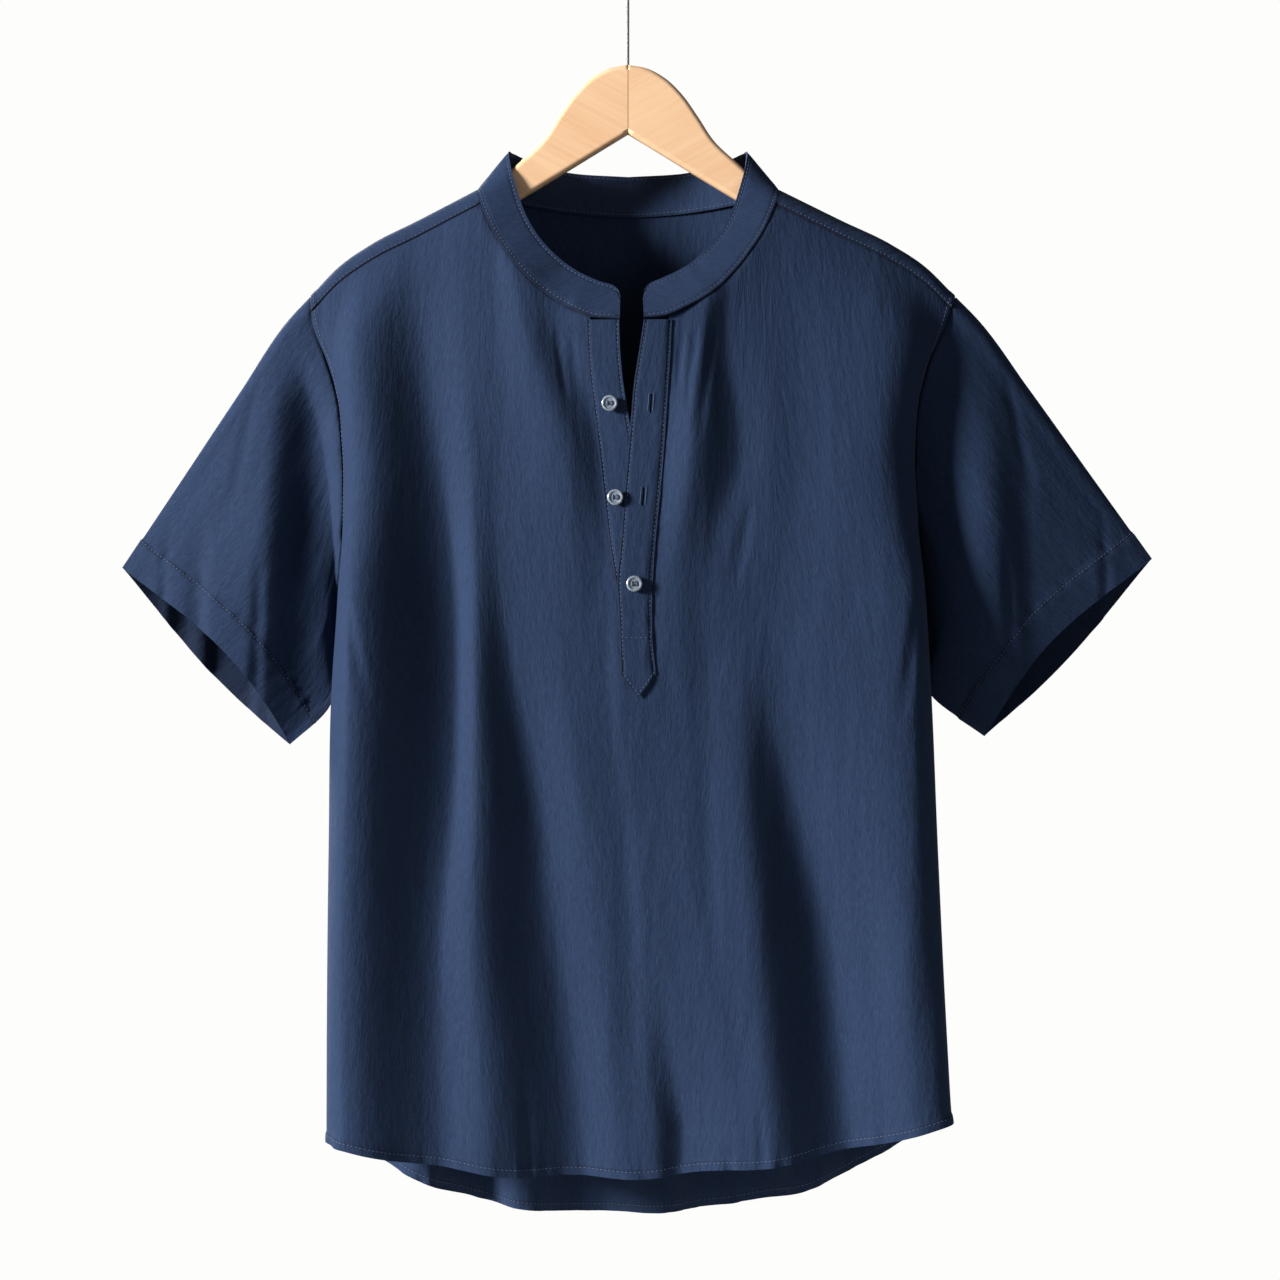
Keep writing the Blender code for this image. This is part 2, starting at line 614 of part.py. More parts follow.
def neckband(material):
    """The standing band, from one rounded front corner round the neck to the other."""
    left_end, right_end = -PLACKET["lower_right"][0], PLACKET["upper_left"][0]
    ends = [math.asin(left_end / NECK), 2 * math.pi - math.asin(right_end / NECK)]
    share = np.linspace(0, 1, BAND_COLUMNS + 1)
    share = share - 0.35 * np.sin(2 * math.pi * share) / (2 * math.pi)
    angle = ends[0] + (ends[1] - ends[0]) * share
    folded = np.degrees(np.where(angle > math.pi, 2 * math.pi - angle, angle))
    low = band_seam(angle)
    top = np.stack([curve(folded, BAND_TOP["angle"], BAND_TOP[k]) for k in "xyz"], axis=-1)
    top[:, 0] *= np.where(angle > math.pi, 1, -1)
    low_step = np.linalg.norm(np.diff(low, axis=0), axis=1)
    along = np.concatenate([[0], np.cumsum(low_step)])
    from_end = np.minimum(along, along[-1] - along)
    width = np.linalg.norm(top - low, axis=1)
    cut = 1 - np.sqrt(1 - (1 - np.clip(from_end / BAND_CORNER, 0, 1)) ** 2)
    reach = 1 - cut * (BAND_CORNER / width)
    lift = np.where(angle > math.pi, 2 * LAYER, LAYER) * (1 - smoothstep((folded - 14) / 20))
    grid = np.stack([low + np.outer(reach * r / BAND_ROWS, (1, 1, 1)) * (top - low)
                     for r in range(BAND_ROWS + 1)])
    inward = grid_inward(grid, 1)
    inward[0] = neck_seam_inward(low[:, 0], np.cos(angle) < 0)
    grid -= inward * lift[None, :, None]
    return wall("neckband", grid[::-1], inward[::-1], BAND_CLOTH, material)


def placket(name, layer, left, right, low_end, point, rows, material):
    """A strip that lies on the front, layer layers out, cut square or to a point."""
    heights = np.linspace(PLACKET["z"][0] - GAP, low_end, rows + 1)
    x_left, x_right = (curve(heights, PLACKET["z"], PLACKET[k]) for k in (left, right))
    share = np.array([0, 0.25, 0.5, 0.75, 1])
    x = x_left[:, None] + (x_right - x_left)[:, None] * share
    z = np.repeat(heights[:, None], len(share), axis=1)
    if point:
        last = z[-1] - point * (1 - np.abs(share * 2 - 1))
        z = np.vstack([z[:-1], last])
    points, inward = on_panel(x, z, "front", layer * LAYER)
    return wall(name, points, inward, CLOTH, material)


def button(name, x, z, layer, material):
    """A round four-hole button with a raised rim, turned about its own axis."""
    points, inward = on_panel(np.array([x]), np.array([z]), "front", layer * LAYER + GAP + 0.4)
    r, thick = BUTTON_WIDE / 2, BUTTON_THICK
    profile = ((0, 0), (r - 1.4, 0), (r - 0.3, 0.5), (r, 1.1), (r - 0.2, thick - 0.4),
               (r - 0.8, thick), (r - 1.5, thick - 0.1), (r - 2.1, thick - 0.8),
               (0, thick - 0.9))
    bm = bmesh.new()
    line = [bm.verts.new((a, 0, b)) for a, b in profile]
    edges = [bm.edges.new(pair) for pair in zip(line, line[1:])]
    bmesh.ops.spin(bm, geom=line + edges, axis=(0, 0, 1), cent=(0, 0, 0),
                   angle=2 * math.pi, steps=20, use_duplicate=False)
    bmesh.ops.remove_doubles(bm, verts=bm.verts, dist=1e-4)
    out = -inward[0]
    side = unit(np.cross((0, 0, 1.0), out))
    up = np.cross(out, side)
    for v in bm.verts:
        a, b, c = v.co
        v.co = points[0] + side * a + up * b + out * c
    obj = add_object(name, bm, material, 35)
    cutters = bmesh.new()
    for k in range(4):
        turn = math.pi / 4 + k * math.pi / 2
        ring = []
        for height in (-1.0, thick + 1.0):
            ring.append([])
            for n in range(8):
                around = n * math.pi / 4
                a = HOLE_OFF_CENTRE * math.cos(turn) + BUTTON_HOLE * math.cos(around)
                b = HOLE_OFF_CENTRE * math.sin(turn) + BUTTON_HOLE * math.sin(around)
                ring[-1].append(cutters.verts.new(points[0] + side * a + up * b + out * height))
        for n in range(8):
            m = (n + 1) % 8
            cutters.faces.new((ring[0][n], ring[0][m], ring[1][m], ring[1][n]))
        cutters.faces.new(ring[0][::-1])
        cutters.faces.new(ring[1])
    holes = add_object(name + "_holes", cutters, material)
    holes.hide_render = True
    holes.display_type = "WIRE"
    cut = obj.modifiers.new("holes", "BOOLEAN")
    cut.object = holes
    cut.operation = "DIFFERENCE"
    return obj


def hanger_half(name, sign, material):
    """Half of the wooden hanger: its outline pulled to a board with rounded edges."""
    def smooth_run(points, count):
        points = np.array(points, float)
        along = np.concatenate([[0], np.cumsum(np.linalg.norm(np.diff(points, axis=0), axis=1))])
        at = np.linspace(0, along[-1], count)
        return np.stack([curve(at, along, points[:, k]) for k in (0, 1)], axis=-1)

    arm_x = -np.linspace(ARM_START, ARM_END - 8, 9)
    arm = np.stack([arm_x, ridge_z(arm_x * sign * -1) - UNDER_CLOTH], axis=-1)
    upper = smooth_run(np.vstack([ARCH, arm]), 34)
    end_top, end_low = upper[-1], np.array(ARM_UNDER[0])
    turn = np.linspace(0.15, 0.85, 6)[:, None]
    tip = (1 - turn) ** 2 * end_top + turn ** 2 * end_low
    tip = tip + 2 * turn * (1 - turn) * np.array([-ARM_END - 5, end_top[1] - 13])
    outline = np.vstack([upper, tip, ARM_UNDER])
    outline[:, 0] = np.minimum(outline[:, 0], -HANGER_JOINT / 2) * -sign
    rounding = [(HANGER_ROUND * (1 - math.sin(a)), HANGER_ROUND * (1 - math.cos(a)))
                for a in (0, math.pi / 6, math.pi / 3, math.pi / 2)]
    after, before = np.roll(outline, -1, axis=0), np.roll(outline, 1, axis=0)
    tangent = unit(after - before)
    normal = np.stack([-tangent[:, 1], tangent[:, 0]], axis=-1) * -sign
    on_joint = np.abs(outline[:, 0]) < HANGER_JOINT
    normal[on_joint] = (0, 0)
    normal[0], normal[-1] = (0, -1), (0, 1)  # straight down and up at the joint
    bm = bmesh.new()
    rings = []
    half = HANGER_THICK / 2
    stations = [(inset, -half + down) for inset, down in rounding]
    stations += [(inset, half - down) for inset, down in reversed(rounding)]
    for inset, y in stations:
        ring = outline + normal * inset
        rings.append([bm.verts.new((p[0], y, p[1])) for p in ring])
    count = len(outline)
    for one, two in zip(rings, rings[1:]):
        for k in range(count):
            m = (k + 1) % count
            bm.faces.new((one[k], one[m], two[m], two[k]))
    caps = [bm.faces.new(rings[0][::-1]), bm.faces.new(rings[-1])]
    bmesh.ops.triangulate(bm, faces=caps, ngon_method="EAR_CLIP")
    return add_object(name, bm, material, 50)


def hook(material):
    """A wire: straight up from the wood, then round a ring that is open on the left."""
    r = HOOK_INSIDE + WIRE / 2
    centre = -HOOK_INSIDE
    points = [(0, WOOD_TOP + GAP), (0, -75), (0, -58), (0, -48)]
    for degrees in np.linspace(-90, 200, 30):
        a = math.radians(degrees)
        points.append((r * math.cos(a), centre + r * math.sin(a)))
    line = bpy.data.curves.new("hook", "CURVE")
    line.dimensions = "3D"
    line.bevel_depth = WIRE / 2 * MM
    line.bevel_resolution = 2
    line.use_fill_caps = True
    spline = line.splines.new("POLY")
    spline.points.add(len(points) - 1)
    for target, (x, z) in zip(spline.points, points):
        target.co = (x * MM, 0, z * MM, 1)
    line.materials.append(material)
    obj = bpy.data.objects.new("hook", line)
    bpy.context.scene.collection.objects.link(obj)
    return obj


def main():
    for obj in list(bpy.data.objects):
        bpy.data.objects.remove(obj)
    cotton = paint("navy_cotton", (0.016, 0.028, 0.068), 0.9)
    horn = paint("grey_horn", (0.30, 0.33, 0.36), 0.35)
    beech = paint("beech", (0.72, 0.46, 0.24), 0.45)
    steel = paint("steel_wire", (0.25, 0.25, 0.26), 0.35, 1.0)
    front(cotton)
    back(cotton)
    sleeve("left", cotton)
    sleeve("right", cotton)
    neckband(cotton)
    placket("placket_lower", 1, "lower_left", "lower_right", LOWER_PLACKET_END, 0, 14, cotton)
    placket("placket_upper", 2, "upper_left", "upper_right", UPPER_PLACKET_END,
            PLACKET_POINT, 16, cotton)
    for i in range(len(BUTTONS["x"])):
        button(f"button_{i + 1}", BUTTONS["x"][i], BUTTONS["z"][i], BUTTONS["layer"][i], horn)
    hanger_half("hanger_left", -1, beech)
    hanger_half("hanger_right", 1, beech)
    hook(steel)


main()
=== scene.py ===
# %% [markdown]
# # A crinkled cotton shirt on a wooden hanger
#
# The real object is a navy short-sleeved shirt of crinkled woven cotton with a standing band
# collar, a half placket with three buttons and a curved tail. It hangs on a flat wooden hanger
# that is made of two mirrored boards. The CAD frame already has every piece in its place. This
# lesson dresses the frame: it lays fine cloth on the same shape, adds the folds, seams and
# stitches that a CAD solid leaves out, and gives each surface a procedural finish.

# %% The frame and its box
import math

import bmesh
import bpy
import numpy as np
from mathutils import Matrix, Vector


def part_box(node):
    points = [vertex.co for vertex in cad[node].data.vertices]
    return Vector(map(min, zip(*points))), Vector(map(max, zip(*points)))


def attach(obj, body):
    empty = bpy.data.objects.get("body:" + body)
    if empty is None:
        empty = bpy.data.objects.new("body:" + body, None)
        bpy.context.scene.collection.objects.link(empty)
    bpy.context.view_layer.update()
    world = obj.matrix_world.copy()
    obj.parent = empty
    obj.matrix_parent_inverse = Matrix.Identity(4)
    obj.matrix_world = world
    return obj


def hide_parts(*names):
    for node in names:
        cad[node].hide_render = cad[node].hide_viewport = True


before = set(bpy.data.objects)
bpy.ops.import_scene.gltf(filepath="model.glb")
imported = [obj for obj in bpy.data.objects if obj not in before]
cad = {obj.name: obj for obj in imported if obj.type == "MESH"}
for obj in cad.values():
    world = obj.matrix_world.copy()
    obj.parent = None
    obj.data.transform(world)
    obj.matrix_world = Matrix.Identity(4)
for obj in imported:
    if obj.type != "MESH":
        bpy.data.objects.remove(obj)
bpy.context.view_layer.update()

MM = 0.001
print("pieces in the frame:", ", ".join(sorted(cad)))

# %% [markdown]
# ## The camera
#
# The photo was taken straight on, with the middle of the garment at the height of the lens.
# A shirt photographed from about 3 m has little perspective. The lens is worked out from the
# width of the view at that distance, so the render has the photo's scale of 0.72 mm a pixel.

# %% Camera
VIEW_WIDTH, DISTANCE, SENSOR = 0.9216, 3.0, 36.0
VIEW_CENTRE_X, VIEW_CENTRE_Z = 0.0086, -0.508
camera = bpy.data.cameras.new("camera")
camera.sensor_width = SENSOR
camera.lens = SENSOR * DISTANCE / VIEW_WIDTH
camera_object = bpy.data.objects.new("camera", camera)
camera_object.location = (VIEW_CENTRE_X, -DISTANCE, VIEW_CENTRE_Z)
camera_object.rotation_euler = (math.pi / 2, 0, 0)
bpy.context.scene.collection.objects.link(camera_object)
bpy.context.scene.camera = camera_object
print(f"lens {camera.lens:.1f} mm")

# %% [markdown]
# ## Light, floor and background
#
# The photo's folds are modelled by one broad soft light from the left front: every ridge is
# bright on its left and falls off to the right. A square area light copies that. A much weaker
# light from the right and an even fill keep the dark sides readable. One more light from behind
# shows the folds of the back when the shirt is turned. The floor is plain and pale.

# %% Light and floor
LIT_CENTRE = (0, 0, -0.5)


def area_light(name, azimuth, elevation, distance, side, watts):
    """A square light that looks at the middle of the shirt."""
    lamp = bpy.data.lights.new(name, "AREA")
    lamp.shape = "SQUARE"
    lamp.size = side
    lamp.energy = watts
    obj = bpy.data.objects.new(name, lamp)
    a, e = math.radians(azimuth), math.radians(elevation)
    back = np.array([math.sin(a) * math.cos(e), -math.cos(a) * math.cos(e), math.sin(e)])
    obj.location = back * distance + LIT_CENTRE
    obj.rotation_euler = Vector(back.tolist()).to_track_quat("Z", "Y").to_euler()
    bpy.context.scene.collection.objects.link(obj)
    return obj


# Azimuth and elevation are in degrees, distance and side in metres, power in watts.
area_light("key_light", -66, 14, 9.0, 1.8, 2700)
area_light("soft_fill", 40, 8, 7.0, 3.5, 60)
area_light("back_light", 208, 22, 4.0, 1.6, 210)

FLOOR, FLOOR_RADIUS, FLOOR_SIDES = -1.25, 0.72, 64
floor_mesh = bpy.data.meshes.new("floor")
turns = np.linspace(0, 2 * math.pi, FLOOR_SIDES + 1)[:-1]
rim = [(FLOOR_RADIUS * math.cos(a), FLOOR_RADIUS * math.sin(a), FLOOR) for a in turns]
floor_mesh.from_pydata(rim, [], [tuple(range(FLOOR_SIDES))])
floor_paint = bpy.data.materials.new("floor_paint")
floor_paint.use_nodes = True
floor_shader = floor_paint.node_tree.nodes["Principled BSDF"]
floor_shader.inputs["Base Color"].default_value = (0.8, 0.8, 0.79, 1)
floor_shader.inputs["Roughness"].default_value = 0.7
floor_mesh.materials.append(floor_paint)
floor = bpy.data.objects.new("floor", floor_mesh)
bpy.context.scene.collection.objects.link(floor)

world = bpy.data.worlds.new("studio")
bpy.context.scene.world = world
world.use_nodes = True
sky = world.node_tree
sky.nodes.clear()
fill = sky.nodes.new("ShaderNodeBackground")
fill.inputs["Strength"].default_value = 0.135
fill.inputs["Color"].default_value = (1, 1, 1, 1)
backdrop = sky.nodes.new("ShaderNodeBackground")
backdrop.inputs["Strength"].default_value = 0.985
backdrop.inputs["Color"].default_value = (1, 1, 0.99, 1)
seen = sky.nodes.new("ShaderNodeLightPath")
either = sky.nodes.new("ShaderNodeMixShader")
sky_out = sky.nodes.new("ShaderNodeOutputWorld")
sky.links.new(seen.outputs["Is Camera Ray"], either.inputs[0])
sky.links.new(fill.outputs[0], either.inputs[1])
sky.links.new(backdrop.outputs[0], either.inputs[2])
sky.links.new(either.outputs[0], sky_out.inputs["Surface"])
bpy.context.scene.view_settings.view_transform = "Standard"
print("three lights, floor and backdrop are in place")

# %% [markdown]
# ## The sizes of the shirt
#
# A garment is known by its sewing lines: shoulder, armhole, side seam, neckline and hem. Each
# is a short table of places in millimetres, and smooth lines run through them. They are the
# values that the solids were made from, so fine cloth built on them lies where the frame has
# its solid. Only the front's sides, the hem, the sleeves' lower lines and the placket's point
# are set a few millimetres closer to the photo. The origin is where a rod bears in the hook,
# +Z is up, and the front faces -Y. "Left" is the left as the front is seen.

# %% Sewing lines
CLOTH, BAND_CLOTH = 1.0, 1.5    # walls, a little thinner than those of the solids
RIDGE_ROUND, NECK, NECK_AT_SEAM, SHOULDER_STRIP = 10.0, 109.0, 105.5, 12.5
SWELL, CORNER, OPEN_EDGE = 90.0, 3.4, 0.62
BOXY, BOXY_OVER = 11.0, 110.0   # the front is flatter than the back and turns sharply at its sides
FOLDS_GROW = 60.0               # folds grow to their depth over this much below the shoulder


def table(columns, *rows):
    """A short table as a dict of named columns."""
    return dict(zip(columns.split(), np.array(rows, float).T))


RIDGE = table("along z", (0, -184), (0.36, -206.5), (0.63, -223), (0.84, -240.8), (1, -261.3))
NECK_RISE = 64.0
SIDE = table(
    "z left right edge",
    (-261.3, -229.0, 236.0, 0),
    (-283.0, -226.0, 227.5, 2),
    (-304.0, -217.5, 217.5, 5),
    (-328.0, -209.5, 210.0, 8),
    (-369.0, -204.5, 205.5, 9),
    (-414.0, -203.8, 207.0, 9),
    (-479.0, -206.6, 212.0, 6),
    (-550.0, -211.0, 216.0, 0),
    (-650.0, -212.5, 220.0, 0),
    (-750.0, -213.5, 224.5, 0),
    (-862.0, -213.8, 230.4, 0),
)
SHOULDER_TIP, ARMHOLE_CLOSES, ARMPIT = -261.3, -404.0, -479.0
DEPTH = table(
    "z front back",
    (-200, 55, 55),
    (-300, 57, 54),
    (-450, 62, 52),
    (-650, 66, 52),
    (-862, 72, 55),
)
NECKLINE = table(
    "x z",
    (0, -280.5),
    (7.9, -280.1),
    (28.6, -277.6),
    (47.8, -268.5),
    (67.6, -253.4),
    (85.6, -232.3),
    (100.6, -207.2),
    (105.5, -195.5),
    (109, -184),
)
BACK_NECK_DROP = 15.0
HEM_CORNER, HEM_TILT, HEM_LINE = -856.5, 6.5, -870.0
HEM = {"front": (31.5, 2.0, 2.0), "back": (69.5, 2.5, 2.8)}     # drop, power left and right
HEM_WAVE = {"front": 1.5, "back": 0.0}                          # a slight wave along the hem
HEM_WAVE_AT, HEM_WAVE_LONG = 9.0, 95.0
print(f"shoulder width {SIDE['right'][0] - SIDE['left'][0]:.0f} mm")

# %% [markdown]
# ## Folds
#
# The shirt hangs from two points, so the spare width falls into long vertical flutes. On the
# real cloth each flute is a soft trough with a crisper crest on the side the light comes from.
# Cloth simulation was considered, but these folds have to be where the photo shows them, so
# each is placed one by one: a straight path, half widths, depths and a skew. Behind and on the
# sleeves these tables hold the large folds too. The front's are in the next cell.

# %% Fold tables
FOLD = "z_top x_top z_low x_low half_top half_low deep_top deep_low skew fade hem"
FOLDS = {
    "back": table(
        FOLD,
        (-330, -150, -960, -152, 26, 40, 10, 28, 0.1, 150, 1),
        (-300, -62, -960, -72, 22, 36, 6, 22, -0.2, 220, 1),
        (-420, 26, -960, 18, 24, 38, 6, 24, 0.2, 200, 1),
        (-340, 138, -960, 132, 24, 40, 10, 28, -0.1, 170, 1),
        (-230, 74, -430, 96, 16, 20, 5, 5, 0.0, 80, 0),
    ),
    "sleeve_left": table(
        FOLD,
        (-290, -224, -620, -220, 30, 60, 14, 21, -0.10, 60, 1),
        (-400, -306, -620, -316, 10, 16, 2, 5, 0.2, 80, 1),
    ),
    "sleeve_right": table(
        FOLD,
        (-285, 249, -620, 262, 24, 46, -6, -30, 0.2, 60, 1),
        (-330, 268, -620, 276, 22, 30, 2, 4, 0.3, 80, 1),
    ),
}
print("large folds:", {key: len(t["skew"]) for key, t in FOLDS.items()})

# %% [markdown]
# ## Crest and valley lines of the front
#
# The front's folds run into each other, so they are given as lines, from left to right, at nine
# heights. "x" is where a line runs, and "in" is how far it lies behind the plain drape, under 0
# for a crest. Between two lines the cloth passes smoothly from one depth to the next.

# %% Front lines
LINE_HEIGHTS = np.array([-225, -289, -373, -451, -536, -620, -705, -790, -853.0])
FRONT_LINES = (
    {"x": (-185, -195, -196, -196, -196, -198, -201, -201, -199),   # crest by the left side
     "in": (-1, -9, -16, -17, -17, -16, -13, -11, -10)},
    {"x": (-150, -146, -135, -126, -123, -126, -134, -134, -132),   # its valley
     "in": (0, 7, 11, 13, 13, 12, 11, 12, 12)},
    {"x": (-115, -113, -109, -107, -107, -106, -107, -103, -99),    # crest left of the middle
     "in": (0, 2, 3, 1, -1, -1, 0, 3, 4)},
    {"x": (-96, -96, -94, -90, -81, -68, -56, -42, -35),            # its valley
     "in": (1, 2, 4, 4, 8, 14, 19, 24, 25)},
    {"x": (-84, -72, -46, -40, -40, -31, -21, -12, -5),             # slanted crest from the neck
     "in": (-1, -3, -4, -1, 2, 6, 11, 15, 16)},
    {"x": (-56, -48, -18, -16, -16, -8, 1, 11, 18),                 # valley beside the placket
     "in": (1, 2, 3, 1, 2, 6, 10, 14, 15)},
    {"x": (-37, -29, -6, -8, -5, 2, 10, 26, 38),                    # left part of the plackets
     "in": (0, 0, 2, 0, 0, 5, 9, 15, 22)},
    {"x": (32, 31, 24, 20, 21, 26, 33, 40, 46),                     # right edge of the plackets
     "in": (0, 0, 1, 0, 0, 4, 8, 13, 20)},
    {"x": (60, 52, 45, 36, 36, 44, 54, 66, 72),                     # crest right of the plackets
     "in": (0, -2, -7, -2, 0, 3, 6, 9, 12)},
    {"x": (80, 70, 80, 62, 56, 58, 64, 75, 80),                     # valley right of it
     "in": (2, 4, 3, 1, 2, 3, 5, 8, 10)},
    {"x": (104, 104, 104, 86, 80, 80, 88, 94, 100),                 # crest right of the middle
     "in": (2, 3, 1, 1, 1, 1, 2, 5, 7)},
    {"x": (121, 120, 122, 108, 102, 115, 133, 144, 151),            # its valley
     "in": (2, 3, 2, 1, 3, 13, 20, 24, 25)},
    {"x": (156, 156, 156, 153, 146, 148, 162, 171, 177),            # rise towards the side
     "in": (1, 0, -2, -4, -3, 5, 11, 14, 15)},
    {"x": (192, 200, 204, 203, 201, 201, 202, 203, 204),            # crest by the right side
     "in": (-2, -5, -8, -9, -9, -6, -3, 1, 3)},
)
print("lines of the front:", len(FRONT_LINES))

# %% [markdown]
# ## Small creases
#
# Near the seams, the armpits and the hem the cloth has short faint creases. Only the dressed
# model has them. The hidden sides get similar ones.

# %% Creases
CREASES = {
    "front": table(
        FOLD,
        (-283, 38, -345, 34, 4, 4, 1.6, 1.0, 0.2, 22, 0),    # gathers right of the placket
        (-279, 49, -356, 39, 4, 4, 1.6, 1.0, 0.2, 24, 0),
        (-272, 62, -372, 48, 5, 5, 1.5, 1.0, 0.2, 30, 0),
        (-283, -39, -335, -37, 4, 4, 1.2, 0.8, 0.0, 22, 0),  # gathers left of the placket
        (-279, -52, -346, -43, 5, 4, 1.2, 0.8, 0.0, 24, 0),
        (-400, 89, -480, 72, 7, 7, 1.3, 1.0, 0.2, 34, 0),    # faint crease, right chest
        (-455, -204, -560, -184, 6, 9, 2.0, 1.2, 0.1, 35, 0),  # drag lines below the armpits
        (-460, 208, -570, 192, 6, 9, 2.0, 1.2, 0.1, 35, 0),
        (-600, -4, -860, 2, 12, 14, 0.8, 1.2, 0.2, 90, 0),
        (-560, 52, -760, 58, 11, 14, 0.8, 1.2, 0.2, 80, 0),
        (-800, -74, -900, -70, 5, 8, 0.6, 1.8, 0.1, 50, 1),
        (-820, 92, -900, 96, 5, 7, 0.6, 1.8, 0.1, 50, 1),
    ),
    "back": table(
        FOLD,
        (-205, 20, -290, 26, 6, 8, 1.6, 1.2, 0.1, 28, 0),
        (-206, -28, -300, -34, 6, 8, 1.6, 1.2, 0.1, 28, 0),
        (-240, -150, -360, -118, 8, 10, 2.2, 1.6, 0.2, 40, 0),
        (-240, 160, -372, 130, 8, 10, 2.2, 1.6, -0.2, 40, 0),
        (-460, -200, -600, -176, 6, 9, 2.6, 1.6, 0.1, 35, 0),
        (-460, 204, -600, 180, 6, 9, 2.6, 1.6, 0.1, 35, 0),
        (-560, 70, -760, 78, 10, 12, 1.6, 2.6, 0.1, 80, 0),
        (-620, -20, -820, -24, 10, 12, 1.6, 2.6, 0.1, 80, 0),
        (-820, -108, -960, -112, 7, 11, 1.5, 4.0, 0.1, 60, 1),
        (-840, 76, -960, 74, 7, 11, 1.5, 4.0, 0.0, 60, 1),
        (-810, 186, -960, 190, 6, 10, 1.5, 4.0, 0.0, 60, 1),
    ),
    "sleeve_left": table(
        FOLD,
        (-300, -262, -420, -286, 6, 8, 2.0, 1.6, 0.0, 40, 0),
        (-400, -330, -560, -336, 6, 8, 1.4, 2.0, 0.0, 50, 1),
        (-430, -262, -560, -268, 6, 8, 1.6, 2.2, 0.0, 50, 1),
    ),
    "sleeve_right": table(
        FOLD,
        (-300, 268, -420, 292, 6, 8, 2.0, 1.6, 0.0, 40, 0),
        (-400, 340, -560, 346, 6, 8, 1.4, 2.0, 0.0, 50, 1),
        (-430, 268, -560, 276, 6, 8, 1.6, 2.2, 0.0, 50, 1),
    ),
}
folds_placed = sum(len(t["skew"]) for t in (*FOLDS.values(), *CREASES.values()))
print("folds, lines and creases:", folds_placed + len(FRONT_LINES))

# %% [markdown]
# ## One surface for the whole body
#
# Front and back are one rounded-box section that swells from the shoulder line and opens
# towards each armhole. One function gives the depth of that surface at any height and width.
# Every panel, placket, stitch and button takes its place from it, so nothing floats or sinks.

# %% Smooth lines
def curve(at, knots, values):
    """A smooth line through a table's points."""
    if knots[0] > knots[-1]:
        knots, values = knots[::-1], values[::-1]
    slopes = np.gradient(values, knots)
    at = np.clip(at, knots[0], knots[-1])
    i = np.clip(np.searchsorted(knots, at) - 1, 0, len(knots) - 2)
    h = knots[i + 1] - knots[i]
    t = (at - knots[i]) / h
    ends = values[i] * (1 + 2 * t) * (1 - t) ** 2 + values[i + 1] * t * t * (3 - 2 * t)
    return ends + h * (slopes[i] * t * (1 - t) ** 2 + slopes[i + 1] * t * t * (t - 1))


def smoothstep(t):
    """0 to 1 with level ends."""
    t = np.clip(t, 0, 1)
    return t * t * (3 - 2 * t)


def unit(v):
    """Vectors at length 1."""
    return v / np.maximum(np.linalg.norm(v, axis=-1, keepdims=True), 1e-9)


def side_x(x, z):
    """The body's edge at this height, on the side that x is on."""
    left = curve(z, SIDE["z"], SIDE["left"])
    right = curve(z, SIDE["z"], SIDE["right"])
    return np.where(np.asarray(x) < 0, left, right)


def ridge_z(x):
    """Height of the shoulder line over x, bridged over the neck."""
    tip = np.where(np.asarray(x) < 0, -SIDE["left"][0], SIDE["right"][0])
    along = (np.abs(x) - NECK) / (tip - NECK)
    shoulder = curve(along, RIDGE["along"], RIDGE["z"])
    bridge = RIDGE["z"][0] + NECK_RISE * (1 - np.minimum(np.abs(x) / NECK, 1) ** 1.3)
    return np.where(along < 0, bridge, shoulder)


def fold_depth(x, z, folds):
    """How far the folds push the cloth in at these places."""
    total = 0.0
    for i in range(len(folds["skew"])):
        top, low = folds["z_top"][i], folds["z_low"][i]
        t = np.clip((top - z) / (top - low), 0, 1)
        centre, half, deep = (
            folds[key + "_top"][i] + t * (folds[key + "_low"][i] - folds[key + "_top"][i])
            for key in ("x", "half", "deep")
        )
        skew = folds["skew"][i]
        q = (x - centre) / half - skew
        q = np.clip(np.where(q < 0, q / (1 + skew), q / (1 - skew)), -1, 1)
        ends = smoothstep((top - z) / folds["fade"][i])
        if not folds["hem"][i]:
            ends = ends * smoothstep((z - low) / folds["fade"][i])
        total = total + deep * ends * np.cos(q * math.pi / 2) ** 2
    return total


def line_depth(x, z):
    """Inward push of the front's crest and valley lines, with no overshoot between them."""
    x, z = np.broadcast_arrays(x, z)
    at = np.stack([curve(z, LINE_HEIGHTS, np.array(line["x"], float)) for line in FRONT_LINES])
    push = np.stack([curve(z, LINE_HEIGHTS, np.array(line["in"], float)) for line in FRONT_LINES])
    at = np.concatenate([at[:1] - 16, at, at[-1:] + 26])
    push = np.concatenate([0 * push[:1], push, 0 * push[:1]])
    wide = np.maximum(np.diff(at, axis=0), 1)
    rise = np.diff(push, axis=0) / wide
    same = rise[1:] * rise[:-1] > 0
    mean = 2 * rise[1:] * rise[:-1] / np.where(same, rise[1:] + rise[:-1], 1)
    level = np.zeros_like(rise[:1])
    slope = np.concatenate([level, np.where(same, mean, 0), level])
    k = np.clip(np.sum(at <= x, axis=0) - 1, 0, len(at) - 2)[None]

    def pick(values, step=0):
        return np.take_along_axis(values, k + step, axis=0)[0]

    h = pick(wide)
    t = np.clip((x - pick(at)) / h, 0, 1)
    ends = pick(push) * (1 + 2 * t) * (1 - t) ** 2 + pick(push, 1) * t * t * (3 - 2 * t)
    return ends + h * (pick(slope) * t * (1 - t) ** 2 + pick(slope, 1) * t * t * (t - 1))


